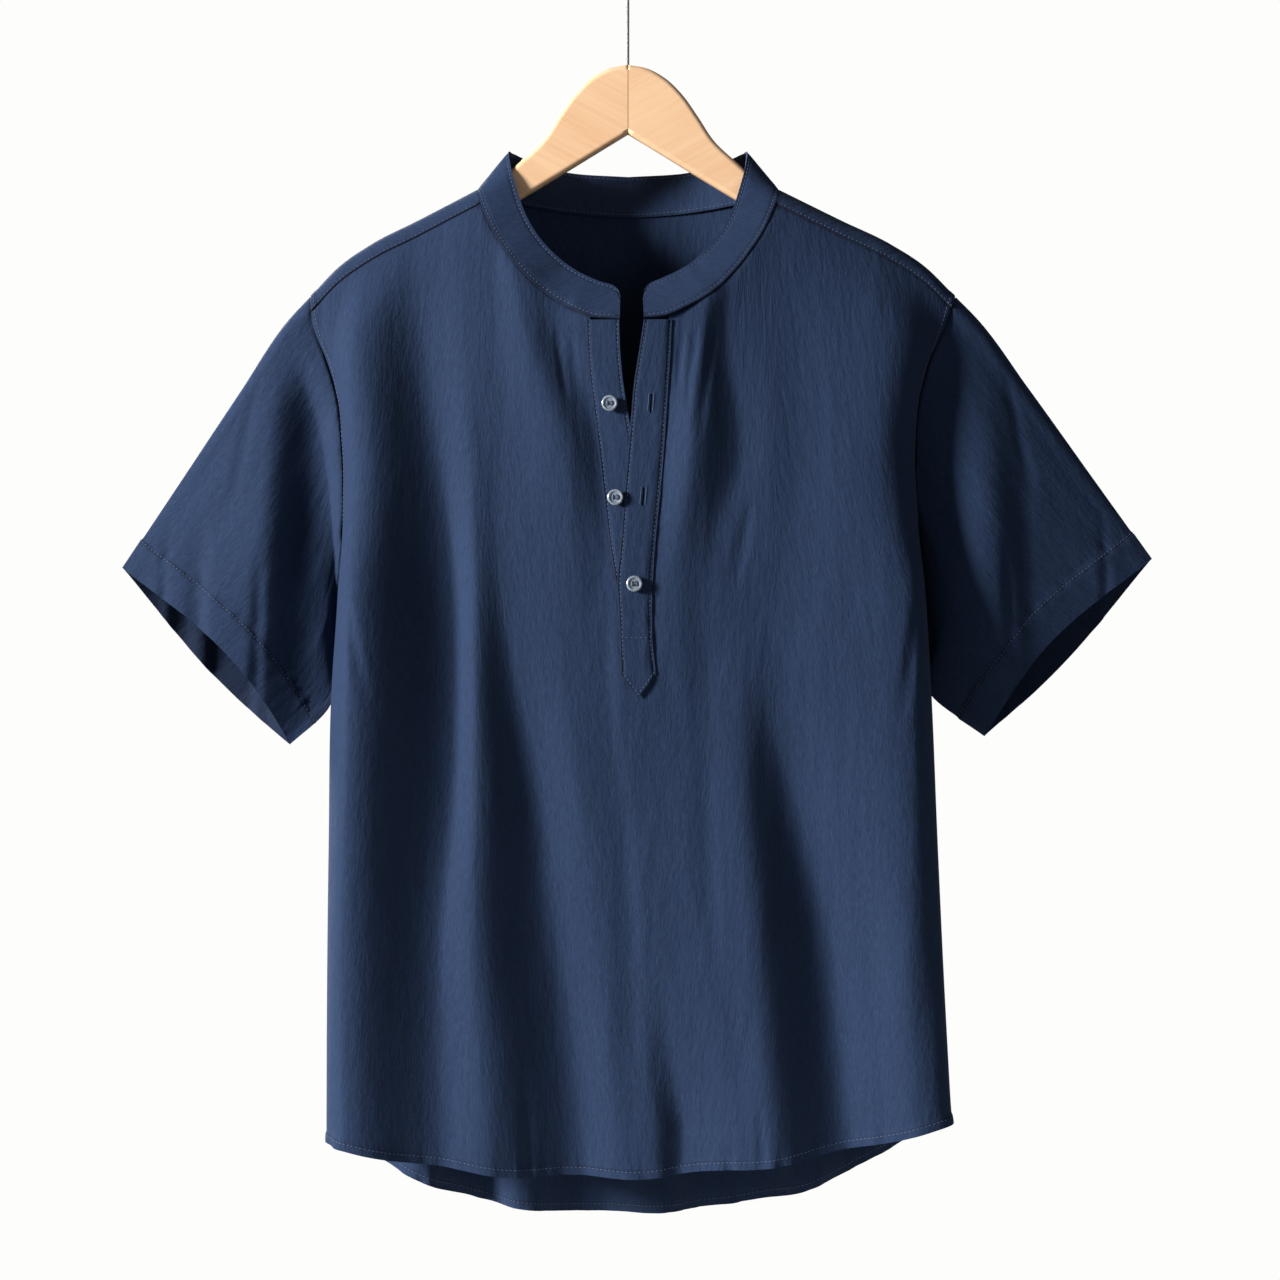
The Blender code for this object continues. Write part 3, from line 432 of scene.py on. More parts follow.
# %% [markdown]
# The drape is worked out in three steps. The armhole seam gives the depth at the edge, the swell
# below the shoulder line gives it in the middle, and a rounded corner joins the two. The folds
# are then taken off it, and they fade out towards the shoulder and the sides.

# %% Depth of the plain drape
def armhole_depth(z, drop):
    """Distance of the armhole seam from the middle plane."""
    over = RIDGE_ROUND * np.sqrt(1 - (1 - np.clip(drop / RIDGE_ROUND, 0, 1)) ** 2)
    closing = np.clip((ARMHOLE_CLOSES - z) / (ARMHOLE_CLOSES - ARMPIT), 0, 1)
    return over, (over + curve(z, SIDE["z"], SIDE["edge"])) * (1 - closing ** 2)


def depth(x, z, face):
    """How far the cloth stands from the middle plane, on the front or on the back."""
    drop = np.maximum(ridge_z(x) - z, 0)
    over, edge = armhole_depth(z, drop)
    across = np.minimum(np.abs(x / side_x(x, z)), 1)
    full = curve(z, DEPTH["z"], DEPTH[face])
    middle = over + (full - RIDGE_ROUND) * (1 - np.exp(-drop / SWELL))
    corner = CORNER
    if face == "front":
        corner = CORNER + (BOXY - CORNER) * smoothstep(drop / BOXY_OVER)
    starts = ARMHOLE_CLOSES + 30
    opened = over * (1 - smoothstep((starts - z) / (starts - ARMPIT)))
    power = 1 / corner + (OPEN_EDGE - 1 / corner) * opened / RIDGE_ROUND
    plain = edge + (middle - edge) * (1 - across ** corner) ** power
    grown = smoothstep(drop / FOLDS_GROW)
    if face == "front":
        return plain - grown * (1 - across ** 90) * line_depth(x, z)
    return plain - grown * (1 - across ** 16) * fold_depth(x, z, FOLDS[face])


# %% [markdown]
# ## Crinkle
#
# The cloth is crinkled lengthwise, and no flute is quite smooth. Even waves would look like
# corrugated board, so the relief is smooth noise: random heights on a lattice, blended. Its
# lumps are long down the cloth and narrow across it, in three sizes. It dies out at every seam
# so that neighbouring pieces still meet, and it is weaker on the stiffer plackets.

# %% Random relief with a fixed seed
LATTICE = np.random.default_rng(41).uniform(-1, 1, (128, 128))
CRINKLE_START = {"front": 3, "back": 29}     # where each panel starts on the lattice


def lumps(u, v, wide, tall, start):
    """Smooth noise from -1 to 1, with lumps of this size in millimetres."""
    a, b = u / wide + start, v / tall + 3 * start
    i, j = np.floor(a).astype(int), np.floor(b).astype(int)
    s, t = smoothstep(a - i), smoothstep(b - j)

    def at(p, q):
        return LATTICE[(i + p) % 128, (j + q) % 128]

    return (at(0, 0) * (1 - s) + at(1, 0) * s) * (1 - t) + (at(0, 1) * (1 - s) + at(1, 1) * s) * t


def crinkle(u, v, start):
    """Relief of the crinkled cloth in millimetres, outwards."""
    slant = u + 0.12 * v
    puffs = 0.7 * lumps(slant, v, 34, 120, start)
    creases = 0.16 * (1 - 2 * np.abs(lumps(u - 0.05 * v, v, 14, 60, start + 7)))
    fine = 0.05 * lumps(u, v, 5.5, 24, start + 13)
    return puffs + creases + fine


PLACKET = table(
    "z lower_left lower_right upper_left upper_right",
    (-281, -29.7, -5.7, 11.3, 31.8),
    (-303, -28.8, -4.9, 8.0, 30.8),
    (-326, -26.8, -2.8, 4.4, 29.4),
    (-352, -23.4, 1.4, 2.1, 27.8),
    (-376, -20.5, 5.0, 0.0, 26.0),
    (-402, -17.7, 8.2, -2.3, 23.8),
    (-442, -12.8, 12.0, -5.4, 19.9),
    (-467, -8.9, 14.6, -7.7, 18.2),
    (-491, -6.6, 15.6, -6.4, 17.6),
    (-511, -5.6, 16.2, -5.7, 18.3),
    (-537, -5.0, 16.6, -4.9, 21.1),
)
PLACKET_TUCK, SLIT_END, LOWER_PLACKET_END = 3.0, -530.0, -526.0
UPPER_PLACKET_END, PLACKET_POINT = -531.0, 17.5


def on_placket(x, z):
    """1 on the plackets, falling to 0 beside them."""
    left = curve(z, PLACKET["z"], PLACKET["lower_left"])
    right = curve(z, PLACKET["z"], PLACKET["upper_right"])
    beside = np.maximum(left - x, x - right)
    below = UPPER_PLACKET_END - PLACKET_POINT - z
    return 1 - smoothstep(np.maximum(beside, below) / 9)


def neck_z(x, face):
    """Height of the neck seam on the front or on the back."""
    if face == "front":
        return curve(np.abs(x), NECKLINE["x"], NECKLINE["z"])
    return RIDGE["z"][0] - BACK_NECK_DROP * (1 - (np.minimum(np.abs(x) / NECK, 1)) ** 2)


def relief(x, z, face):
    """Creases and crinkle, outwards, calm at the seams."""
    drop = np.maximum(ridge_z(x) - z, 0)
    across = np.minimum(np.abs(x / side_x(x, z)), 1)
    under_neck = np.where(np.abs(x) < NECK, neck_z(x, face) - z, 100)
    calm = smoothstep(drop / 14) * (1 - across ** 30) * smoothstep(under_neck / 12)
    height = crinkle(x, z, CRINKLE_START[face]) - fold_depth(x, z, CREASES[face])
    if face == "front":
        height = height * (1 - 0.8 * on_placket(x, z))
    return calm * height


def draped(x, z, face):
    """The plain drape with its creases and crinkle."""
    return depth(x, z, face) + relief(x, z, face)


def on_panel(x, z, face, lift=0.0):
    """Points of the body's outer surface, moved out by lift, and the directions inwards."""
    out = -1.0 if face == "front" else 1.0
    step = 0.5
    slope_x = (draped(x + step, z, face) - draped(x - step, z, face)) / (2 * step)
    slope_z = (draped(x, z + step, face) - draped(x, z - step, face)) / (2 * step)
    inward = unit(np.stack([slope_x, np.full_like(slope_x, -out), slope_z], axis=-1))
    points = np.stack([x, out * draped(x, z, face), z], axis=-1)
    return points - lift * inward, inward


def grid_inward(points, sign):
    """Directions into the wall, across a grid of points on its outer surface."""
    along = np.gradient(points, axis=1)
    down = np.gradient(points, axis=0)
    return unit(sign * np.cross(along, down))


print(f"crinkle stands {np.ptp(crinkle(*np.meshgrid(np.arange(200), np.arange(400)), 3)):.1f} mm")

# %% [markdown]
# ## Seams and hems
#
# A hem is cloth turned in twice, so it stands proud by its extra layers, and the stitch line
# pulls it down again. The thread is a little shorter than the cloth, which puckers the edge.
# Both are written as relief over the distance from the edge, and each piece adds its own. Seams
# and stitch lines sink into the cloth and lie in shade, so the same distances give each point a
# share of "seam shade", and the cotton finish is darkened by it: painted shade in its colour.

# %% Edge relief
STITCH_IN = 1.2        # a turned edge is stitched this far inside its fold


def drawn_in(distance, at, deep=0.6):
    """The line a row of stitches draws in the cloth."""
    return -deep * np.exp(-((distance - at) / 0.7) ** 2)


def shaded(distance, at, half=0.8):
    """How deep in the shade of a seam or stitch line the cloth lies, from 0 to 1."""
    return np.exp(-((distance - at) / half) ** 2)


def turned_edge(distance, width, height):
    """The proud band of a turned edge, drawn in along its stitch line."""
    band = height * smoothstep((width + 0.5 - distance) / 1.0)
    return band + drawn_in(distance, width - STITCH_IN)


def pucker(distance, along, reach, height, size, start):
    """Small gathers that die out away from a seam."""
    return height * lumps(along, distance * 0.4, size, 22, start) * np.exp(-distance / reach)


def steps_from(points, axis, end=False):
    """Distance over the cloth from its first or last row or column."""
    step = np.linalg.norm(np.diff(points, axis=axis), axis=-1)
    gone = np.cumsum(step, axis=axis)
    first = np.zeros_like(gone[:1] if axis == 0 else gone[:, :1])
    gone = np.concatenate([first, gone], axis=axis)
    if end:
        gone = (gone[-1:] if axis == 0 else gone[:, -1:]) - gone
    return gone


def line_at(points, distances, value, axis=0):
    """The line over the cloth at one distance from an edge."""
    if axis == 1:
        points, distances = points.transpose(1, 0, 2), distances.T
    order = 1 if distances[0, 0] < distances[-1, 0] else -1
    return np.array([
        [np.interp(value, distances[::order, j], points[::order, j, k]) for k in range(3)]
        for j in range(points.shape[1])
    ])


def fine_steps(count, fine, first, last):
    """Shares from 0 to 1 whose steps are only fine wide near the chosen ends."""
    t = np.linspace(0, 1, count + 1)
    density = 1 / (fine + (1 - fine) * (1 - first * np.exp(-t * 22) - last * np.exp((t - 1) * 22)))
    share = np.concatenate([[0], np.cumsum((1 / density)[1:])])
    return share / share[-1]


print("a turned edge stands", float(turned_edge(np.array(2.0), 6.5, 0.7)), "mm proud")

# %% [markdown]
# ## A wall of cloth
#
# Real cloth has two faces and an edge. Each piece is a grid of points on its outer face, and
# the same grid moved inwards by the cloth's thickness is its inner face. Open edges are closed
# by a narrow rim. The grid's own lengths become a UV map in metres, called grain, so the weave
# and the crinkle follow the cloth and run the same size everywhere.

# %% Mesh from a grid
made = {}              # the dressed pieces, by name
stitch_lines = {}      # the lines that are sewn later, in millimetres


def cloth_piece(name, outer, inward, thickness, present=None, around=False, shade=None,
                inside=0.0):
    """A closed thin wall from a grid of outer points, with its grain as UV."""
    rows, columns = outer.shape[:2]
    inner = outer + inward * thickness
    index = np.arange(rows * columns).reshape(rows, columns)
    ring = outer
    if around:
        index = np.hstack([index, index[:, :1]])
        ring = np.concatenate([outer, outer[:, :1]], axis=1)
    u = steps_from(ring, 1)
    u = u - u[:, index.shape[1] // 2][:, None]
    v = steps_from(ring, 0)
    grain = np.stack([u, -v], axis=-1) * MM
    if present is None:
        present = np.ones((index.shape[0] - 1, index.shape[1] - 1), bool)
    corners = [(slice(None, -1), slice(None, -1)), (slice(1, None), slice(None, -1)),
               (slice(1, None), slice(1, None)), (slice(None, -1), slice(1, None))]
    face = np.stack([index[c] for c in corners], axis=-1)
    face_uv = np.stack([grain[c] for c in corners], axis=2)
    count = rows * columns
    faces = [face[present], face[present][:, ::-1] + count]
    uvs = [face_uv[present], face_uv[present][:, ::-1]]
    padded = np.pad(present, 1)
    if around:
        padded[:, 0], padded[:, -1] = padded[:, -2], padded[:, 1]
    for (p, q), (di, dj) in (((0, 3), (-1, 0)), ((2, 1), (1, 0)), ((1, 0), (0, -1)),
                             ((3, 2), (0, 1))):
        there = padded[1 + di:padded.shape[0] - 1 + di, 1 + dj:padded.shape[1] - 1 + dj]
        rim = present & ~there
        one, two = face[rim][:, p], face[rim][:, q]
        faces.append(np.stack([one, two, two + count, one + count], axis=-1))
        one_uv, two_uv = face_uv[rim][:, p], face_uv[rim][:, q]
        uvs.append(np.stack([one_uv, two_uv, two_uv, one_uv], axis=1))
    faces, uvs = np.concatenate(faces), np.concatenate(uvs)
    points = np.concatenate([outer.reshape(-1, 3), inner.reshape(-1, 3)]) * MM
    used, faces = np.unique(faces, return_inverse=True)
    faces = faces.reshape(-1, 4)
    mesh = bpy.data.meshes.new(name)
    mesh.from_pydata(points[used].tolist(), [], faces.tolist())
    # Painted shade: the seam_shade share darkens the cloth's colour along seams, stitch lines and
    # edges. The inner face gets 0.6 of it plus the inside share, a flat painted shade.
    if shade is not None:
        both = np.concatenate([shade.reshape(-1), 0.6 * shade.reshape(-1) + inside])
        mesh.attributes.new("seam_shade", "FLOAT", "POINT").data.foreach_set("value", both[used])
    layer = mesh.uv_layers.new(name="grain")
    layer.data.foreach_set("uv", uvs.reshape(-1).astype(np.float32))
    work = bmesh.new()
    work.from_mesh(mesh)
    bmesh.ops.recalc_face_normals(work, faces=work.faces)
    work.to_mesh(mesh)
    work.free()
    mesh.shade_smooth()
    mesh.set_sharp_from_angle(angle=math.radians(55))
    obj = bpy.data.objects.new(name, mesh)
    bpy.context.scene.collection.objects.link(obj)
    made[name] = obj
    area = sum(p.area for p in mesh.polygons) / 2
    print(f"{name}: {2 * len(faces)} triangles, {area:.3f} m2 of cloth")
    return obj


# %% [markdown]
# ## The front panel
#
# The front runs from the forward shoulder seams to the curved hem, with a slit under the
# plackets. Its columns follow the armhole, the shoulder and the slit, so that no seam line has
# to be cut out of a square grid. Rows and columns are closer at the edges, where the hem and
# the seams need them.

# %% Columns of the panels
SIDE_COLUMNS, NECK_COLUMNS, SLIT_COLUMNS = 66, 40, 10
NECK_GAP, GAP = 0.12, 0.04


def even_share(shares):
    """Shares from the edge to the neck column, spaced evenly round the section's corner."""
    half_width, half_depth = -SIDE["left"][7], DEPTH["front"][2]     # below the armpits
    reach = 1 - NECK / half_width
    s = 1 - np.linspace(0, 1, 4000) ** 2 * reach
    x, y = half_width * s, half_depth * (1 - s ** CORNER) ** (1 / CORNER)
    along = np.concatenate([[0], np.cumsum(np.hypot(np.diff(x), np.diff(y)))])
    return (1 - np.interp(shares * along[-1], along, s)) / reach


def neck_anchor(z):
    """Half width of the column that starts at the end of the shoulder seam."""
    drop = np.clip((RIDGE["z"][0] - z) / SHOULDER_STRIP, 0, 1)
    return NECK + NECK_GAP - (NECK - NECK_AT_SEAM) * drop


EDGE_SHARES = fine_steps(SIDE_COLUMNS, 0.35, 1, 0)


def side_columns(z, sign):
    """x of the columns from the body's edge to the neck column, for a grid of heights."""
    edge, neck = side_x(sign, z), sign * neck_anchor(z)
    drop = ridge_z(edge * 0.999) - z
    spread = np.clip(armhole_depth(z, np.maximum(drop, 10))[1] / 12, 0, 1)
    even = even_share(EDGE_SHARES)
    return edge + (neck - edge) * (even + (EDGE_SHARES - even) * spread)


def slit_x(z, key):
    """The slit's edge, a little under the placket that covers it."""
    tuck = PLACKET_TUCK if key == "lower_left" else -PLACKET_TUCK
    return curve(z, PLACKET["z"], PLACKET[key]) + tuck


def front_x(z):
    """x of every column of the front, for a grid of heights."""
    a, b = SIDE_COLUMNS + 1, SIDE_COLUMNS + 1 + NECK_COLUMNS
    c, d = b + SLIT_COLUMNS - 1, b + SLIT_COLUMNS - 1 + NECK_COLUMNS
    left, right = slit_x(z[:, a:b], "lower_left"), slit_x(z[:, c:d], "upper_right")
    t = np.linspace(0, 1, NECK_COLUMNS + 1)
    ways = np.linspace(0, 1, SLIT_COLUMNS + 1)[1:-1]
    slit = z[:, b:c]
    x = np.zeros_like(z)
    x[:, :a] = side_columns(z[:, :a], -1)
    x[:, a:b] = (t[1:] - 1) * neck_anchor(z[:, a:b]) + t[1:] * left
    x[:, b:c] = slit_x(slit, "lower_left") * (1 - ways) + slit_x(slit, "upper_right") * ways
    x[:, c:d] = t[:-1] * neck_anchor(z[:, c:d]) + (1 - t[:-1]) * right
    x[:, d:] = side_columns(z[:, d:][:, ::-1], 1)[:, ::-1]
    return x


def meet(columns, x_of, edge_z):
    """Height at which each column meets an edge line."""
    z = np.full((1, columns), -230.0)      # a first guess, halfway down the shoulder line
    for _ in range(40):
        z = 0.5 * z + 0.5 * edge_z(x_of(z))
    return z[0]


def hem_z(x, face):
    """The curved hem's height."""
    across = x / np.abs(side_x(x, HEM_CORNER))
    drop, left, right = HEM[face]
    power = np.where(across < 0, left, right)
    inside = 1 - np.minimum(np.abs(across), 1) ** power
    wave = HEM_WAVE[face] * np.cos((x - HEM_WAVE_AT) * 2 * math.pi / HEM_WAVE_LONG)
    return HEM_CORNER + HEM_TILT * across - (drop + wave) * inside


def square_edge(inward, points, column, sign):
    """Turns the wall's end at the armhole and the side seam to face its neighbour."""
    n = inward[:, column].copy()
    open_part = np.clip((np.abs(points[:, column, 1]) - GAP) / 8, 0, 1)[:, None]
    square = unit(n * (0, 1, 1) + (0, 1e-9, 0))
    closed = np.broadcast_to((-sign, 0, 0), n.shape)
    inward[:, column] = unit(square * open_part + closed * (1 - open_part))


# %% [markdown]
# The relief of each edge is added after the grid is known, because it is measured over the
# cloth: a narrow turned hem, a topstitched armhole and a gathered side seam.

# %% The front
FRONT_ROWS = 168
NECK_TUCK, PLACKET_CLEAR = 0.8, 36.0   # the front is drawn in below the neckband
HEM_WIDE, ARMHOLE_WIDE = 6.5, 6.5
STITCHES_END = ARMPIT + 10.0           # the armhole's own stitches stop above the armpit


def edge_finish(points, inward, start):
    """Adds hem, armhole and side seam relief to a body panel, and gives their shade."""
    from_hem = steps_from(points, 0, end=True)
    along_hem = points[:, :, 0]
    add = turned_edge(from_hem, HEM_WIDE, 0.9) + pucker(from_hem, along_hem, 8, 1.3, 6, start)
    shade = shaded(from_hem, HEM_WIDE - STITCH_IN) + 0.5 * shaded(from_hem, HEM_WIDE + 0.6, 0.7)
    for end in (False, True):
        distance = steps_from(points, 1, end=end)
        z = points[:, :, 2]
        sewn = smoothstep((z - ARMPIT + 6) / 12)
        welt = turned_edge(distance, ARMHOLE_WIDE, 0.5) * sewn
        gathers = pucker(distance, z, 9, 0.8, 11, start + 5)
        at_seam = smoothstep(distance / 1.5)
        add = add + (welt + gathers) * at_seam * smoothstep((-200 - z) / 20)
        add = add + drawn_in(distance, 0.4, 1.0) * sewn
        seams = shaded(distance, 0, 1.3) + 0.6 * shaded(distance, ARMHOLE_WIDE - STITCH_IN)
        shade = shade + seams * sewn
    return points - inward * add[:, :, None], shade


def front_panel():
    """The front, with its slit, hem and armhole stitching lines."""
    columns = 2 * (SIDE_COLUMNS + 1) + 2 * NECK_COLUMNS + SLIT_COLUMNS - 1
    in_neck = np.zeros(columns, bool)
    in_neck[SIDE_COLUMNS + 1:-SIDE_COLUMNS - 1] = True

    def top_edge(x):
        seam = ridge_z(x) - SHOULDER_STRIP
        neck = neck_z(np.maximum(np.abs(x) - NECK_GAP, 0), "front") - NECK_GAP
        return np.where(in_neck, neck, seam)

    top = meet(columns, front_x, top_edge)
    low = hem_z(front_x(np.full((1, columns), HEM_LINE))[0], "front")
    share = fine_steps(FRONT_ROWS, 0.25, 1, 1)[:, None]
    z = top + (low - top) * share
    a = SIDE_COLUMNS + NECK_COLUMNS
    middle = a + SLIT_COLUMNS // 2
    end_row = int(np.argmin(np.abs(z[:, middle] - SLIT_END)))
    near = np.clip(1 - np.abs(np.arange(FRONT_ROWS + 1) - end_row) / 12, 0, 1)
    slit = slice(a, a + SLIT_COLUMNS + 1)
    z[:, slit] += (SLIT_END - z[end_row, slit]) * near[:, None]
    x = front_x(z)
    points, inward = on_panel(x, z, "front")
    for column, sign in ((0, -1), (-1, 1)):
        points[z[:, column] < ARMPIT, column, 1] = -GAP / 2
        square_edge(inward, points, column, sign)
    points, shade = edge_finish(points, inward, 11)
    slope = (neck_z(x + 1, "front") - neck_z(x - 1, "front")) / 2
    from_neck = (top - z) / np.hypot(1, slope)
    sewn_top = np.where(in_neck, np.abs(x) > PLACKET_CLEAR, True)
    tucked = NECK_TUCK * np.exp(-from_neck / 2.2) * sewn_top
    shade = shade + shaded(from_neck, 0, 1.4)
    points = points + inward * tucked[:, :, None]
    present = np.ones((FRONT_ROWS, columns - 1), bool)
    present[:end_row, slit.start:slit.stop - 1] = False
    from_hem = steps_from(points, 0, end=True)
    stitch_lines["hem_front"] = line_at(points, from_hem, HEM_WIDE - STITCH_IN)
    armpit_row = int(np.argmin(np.abs(z[:, 0] - STITCHES_END)))
    for key, end in (("left", False), ("right", True)):
        line = line_at(points, steps_from(points, 1, end=end), ARMHOLE_WIDE - STITCH_IN, axis=1)
        stitch_lines[f"armhole_front_{key}"] = line[2:armpit_row]
    return cloth_piece("shirt_front", points, inward, CLOTH, present, shade=shade)


front_panel()

# %% [markdown]
# ## The back panel
#
# The back comes over the shoulder line and meets the front at a forward shoulder seam. Its
# first rows therefore start in front of the shoulder line, and only then run down the back. It
# has the same armholes, and a longer tail than the front.

# %% The back
BACK_ROWS, BACK_NECK_COLUMNS = 150, 56
STRIP = np.concatenate([np.linspace(-SHOULDER_STRIP, -2.5, 9)[:-1],
                        np.array([-2.5, -1.2, -0.4, 0.0, 0.4, 1.2, 2.5, 4.5, 7.0, 9.5])])


def back_x(z):
    """x of every column of the back, for a grid of heights."""
    a = SIDE_COLUMNS + 1
    b = a + BACK_NECK_COLUMNS - 1
    t = 2 * np.linspace(0, 1, BACK_NECK_COLUMNS + 1)[1:-1] - 1
    x = np.zeros_like(z)
    x[:, :a] = side_columns(z[:, :a], -1)
    x[:, a:b] = (NECK_AT_SEAM + (NECK - NECK_AT_SEAM) * np.abs(t) ** 8) * t
    x[:, b:] = side_columns(z[:, b:][:, ::-1], 1)[:, ::-1]
    return x


def back_panel():
    """The back, with the strip that comes over the shoulders."""
    columns = 2 * (SIDE_COLUMNS + 1) + BACK_NECK_COLUMNS - 1
    in_neck = np.zeros(columns, bool)
    in_neck[SIDE_COLUMNS + 1:-SIDE_COLUMNS - 1] = True
    rows = []
    for drop in STRIP:
        def top_edge(x, drop=drop):
            neck = neck_z(x, "back") - NECK_GAP + 0.05 * (STRIP[-1] - abs(drop))
            return np.where(in_neck, neck, ridge_z(x) - abs(drop))
        rows.append(meet(columns, back_x, top_edge))
    strip_z = np.array(rows)
    low = hem_z(back_x(np.full((1, columns), HEM_LINE))[0], "back")
    share = fine_steps(BACK_ROWS, 0.25, 0, 1)[1:, None]
    z = np.concatenate([strip_z, strip_z[-1] + (low - strip_z[-1]) * share])
    x = back_x(z)
    face = np.concatenate([np.sign(STRIP), np.ones(BACK_ROWS)])[:, None]
    face = np.where(in_neck, 1, np.broadcast_to(face, z.shape))
    y = np.where(face < 0, -draped(x, z, "front"), draped(x, z, "back"))
    points = np.stack([x, np.where(face == 0, 0, y), z], axis=-1)
    first = len(STRIP) - 1
    inward = grid_inward(points, -1)
    inward[first:] = on_panel(x[first:], z[first:], "back")[1]
    inward[:first, in_neck] = inward[first, in_neck]
    same_way = np.sum(inward[first - 1] * inward[first], axis=-1) > 0
    print("shoulder strip: share of the wall that goes inwards", np.mean(same_way))
    for column, sign in ((0, -1), (-1, 1)):
        points[z[:, column] < ARMPIT, column, 1] = GAP / 2
        square_edge(inward, points, column, sign)
    points, shade = edge_finish(points, inward, 61)
    present = np.ones((len(z) - 1, columns - 1), bool)
    present[:first, SIDE_COLUMNS:columns - 1 - SIDE_COLUMNS] = False
    behind = slice(int(np.argmax(STRIP == 0)), first)
    present[behind, [SIDE_COLUMNS, columns - 2 - SIDE_COLUMNS]] = True   # corners by the band
    from_hem = steps_from(points, 0, end=True)
    for key, lines in (("outside", points), ("inside", points + inward * CLOTH)):
        stitch_lines[f"hem_back_{key}"] = line_at(lines, from_hem, HEM_WIDE - STITCH_IN)
    armpit_row = int(np.argmin(np.abs(z[:, 0] - STITCHES_END)))
    for key, end in (("left", False), ("right", True)):
        line = line_at(points, steps_from(points, 1, end=end), ARMHOLE_WIDE - STITCH_IN, axis=1)
        stitch_lines[f"armhole_back_{key}"] = line[1:armpit_row]
    stitch_lines["shoulder_left"] = points[1, 2:SIDE_COLUMNS - 1]
    stitch_lines["shoulder_right"] = points[1, columns - SIDE_COLUMNS + 1:-2]
    from_top = steps_from(points, 0)
    shade = shade + (shaded(from_top, 0, 0.8) + 0.6 * shaded(from_top, 1.8)) * ~in_neck
    return cloth_piece("shirt_back", points, inward, CLOTH, present, shade=shade)


back_panel()

# %% [markdown]
# ## The sleeves
#
# A sleeve is a tube. It starts as the long oval of the armhole and ends as the flatter oval of
# the cuff, which hangs lower at the back. Rings between the two give its drape. A plain tube
# needs no pattern piece, so the rings themselves are the rows of the grid.

# %% Sleeve lines
SLEEVE = {
    "left": table(
        "along top_x top_z low_x low_z",
        (0.00, -229.0, -261.3, -206.6, -479),
        (0.08, -242.6, -275.7, -208.6, -496),
        (0.35, -279.5, -330.0, -210.2, -529),
        (0.70, -324.6, -397.9, -216.0, -558),
        (1.00, -363.6, -456.4, -243.4, -583.2),
    ),
    "right": table(
        "along top_x top_z low_x low_z",
        (0.00, 236.0, -261.3, 212.0, -479),
        (0.08, 249.8, -275.2, 213.0, -494),
        (0.35, 288.0, -326.5, 214.6, -522),
        (0.70, 336.2, -393.7, 219.0, -549),
        (1.00, 376.6, -450.0, 257.0, -576.7),
    ),
}
CUFF_DEPTH, SLEEVE_BULGE, CUFF_FRONT_IN, CUFF_BACK_OUT = 19.0, 11.0, 13.0, 7.0
SLEEVE_ROWS, SLEEVE_HALF = 110, 88
SLEEVE_FOLDS = {"left": 1.0, "right": 0.4}      # share of the frame's own sleeve folds
SLEEVE_GAP, ARMPIT_GAP, CUFF_HEM = 0.1, 0.5, 25.0
HALF_GIRTH = 200.0                              # half the way round, for the crinkle


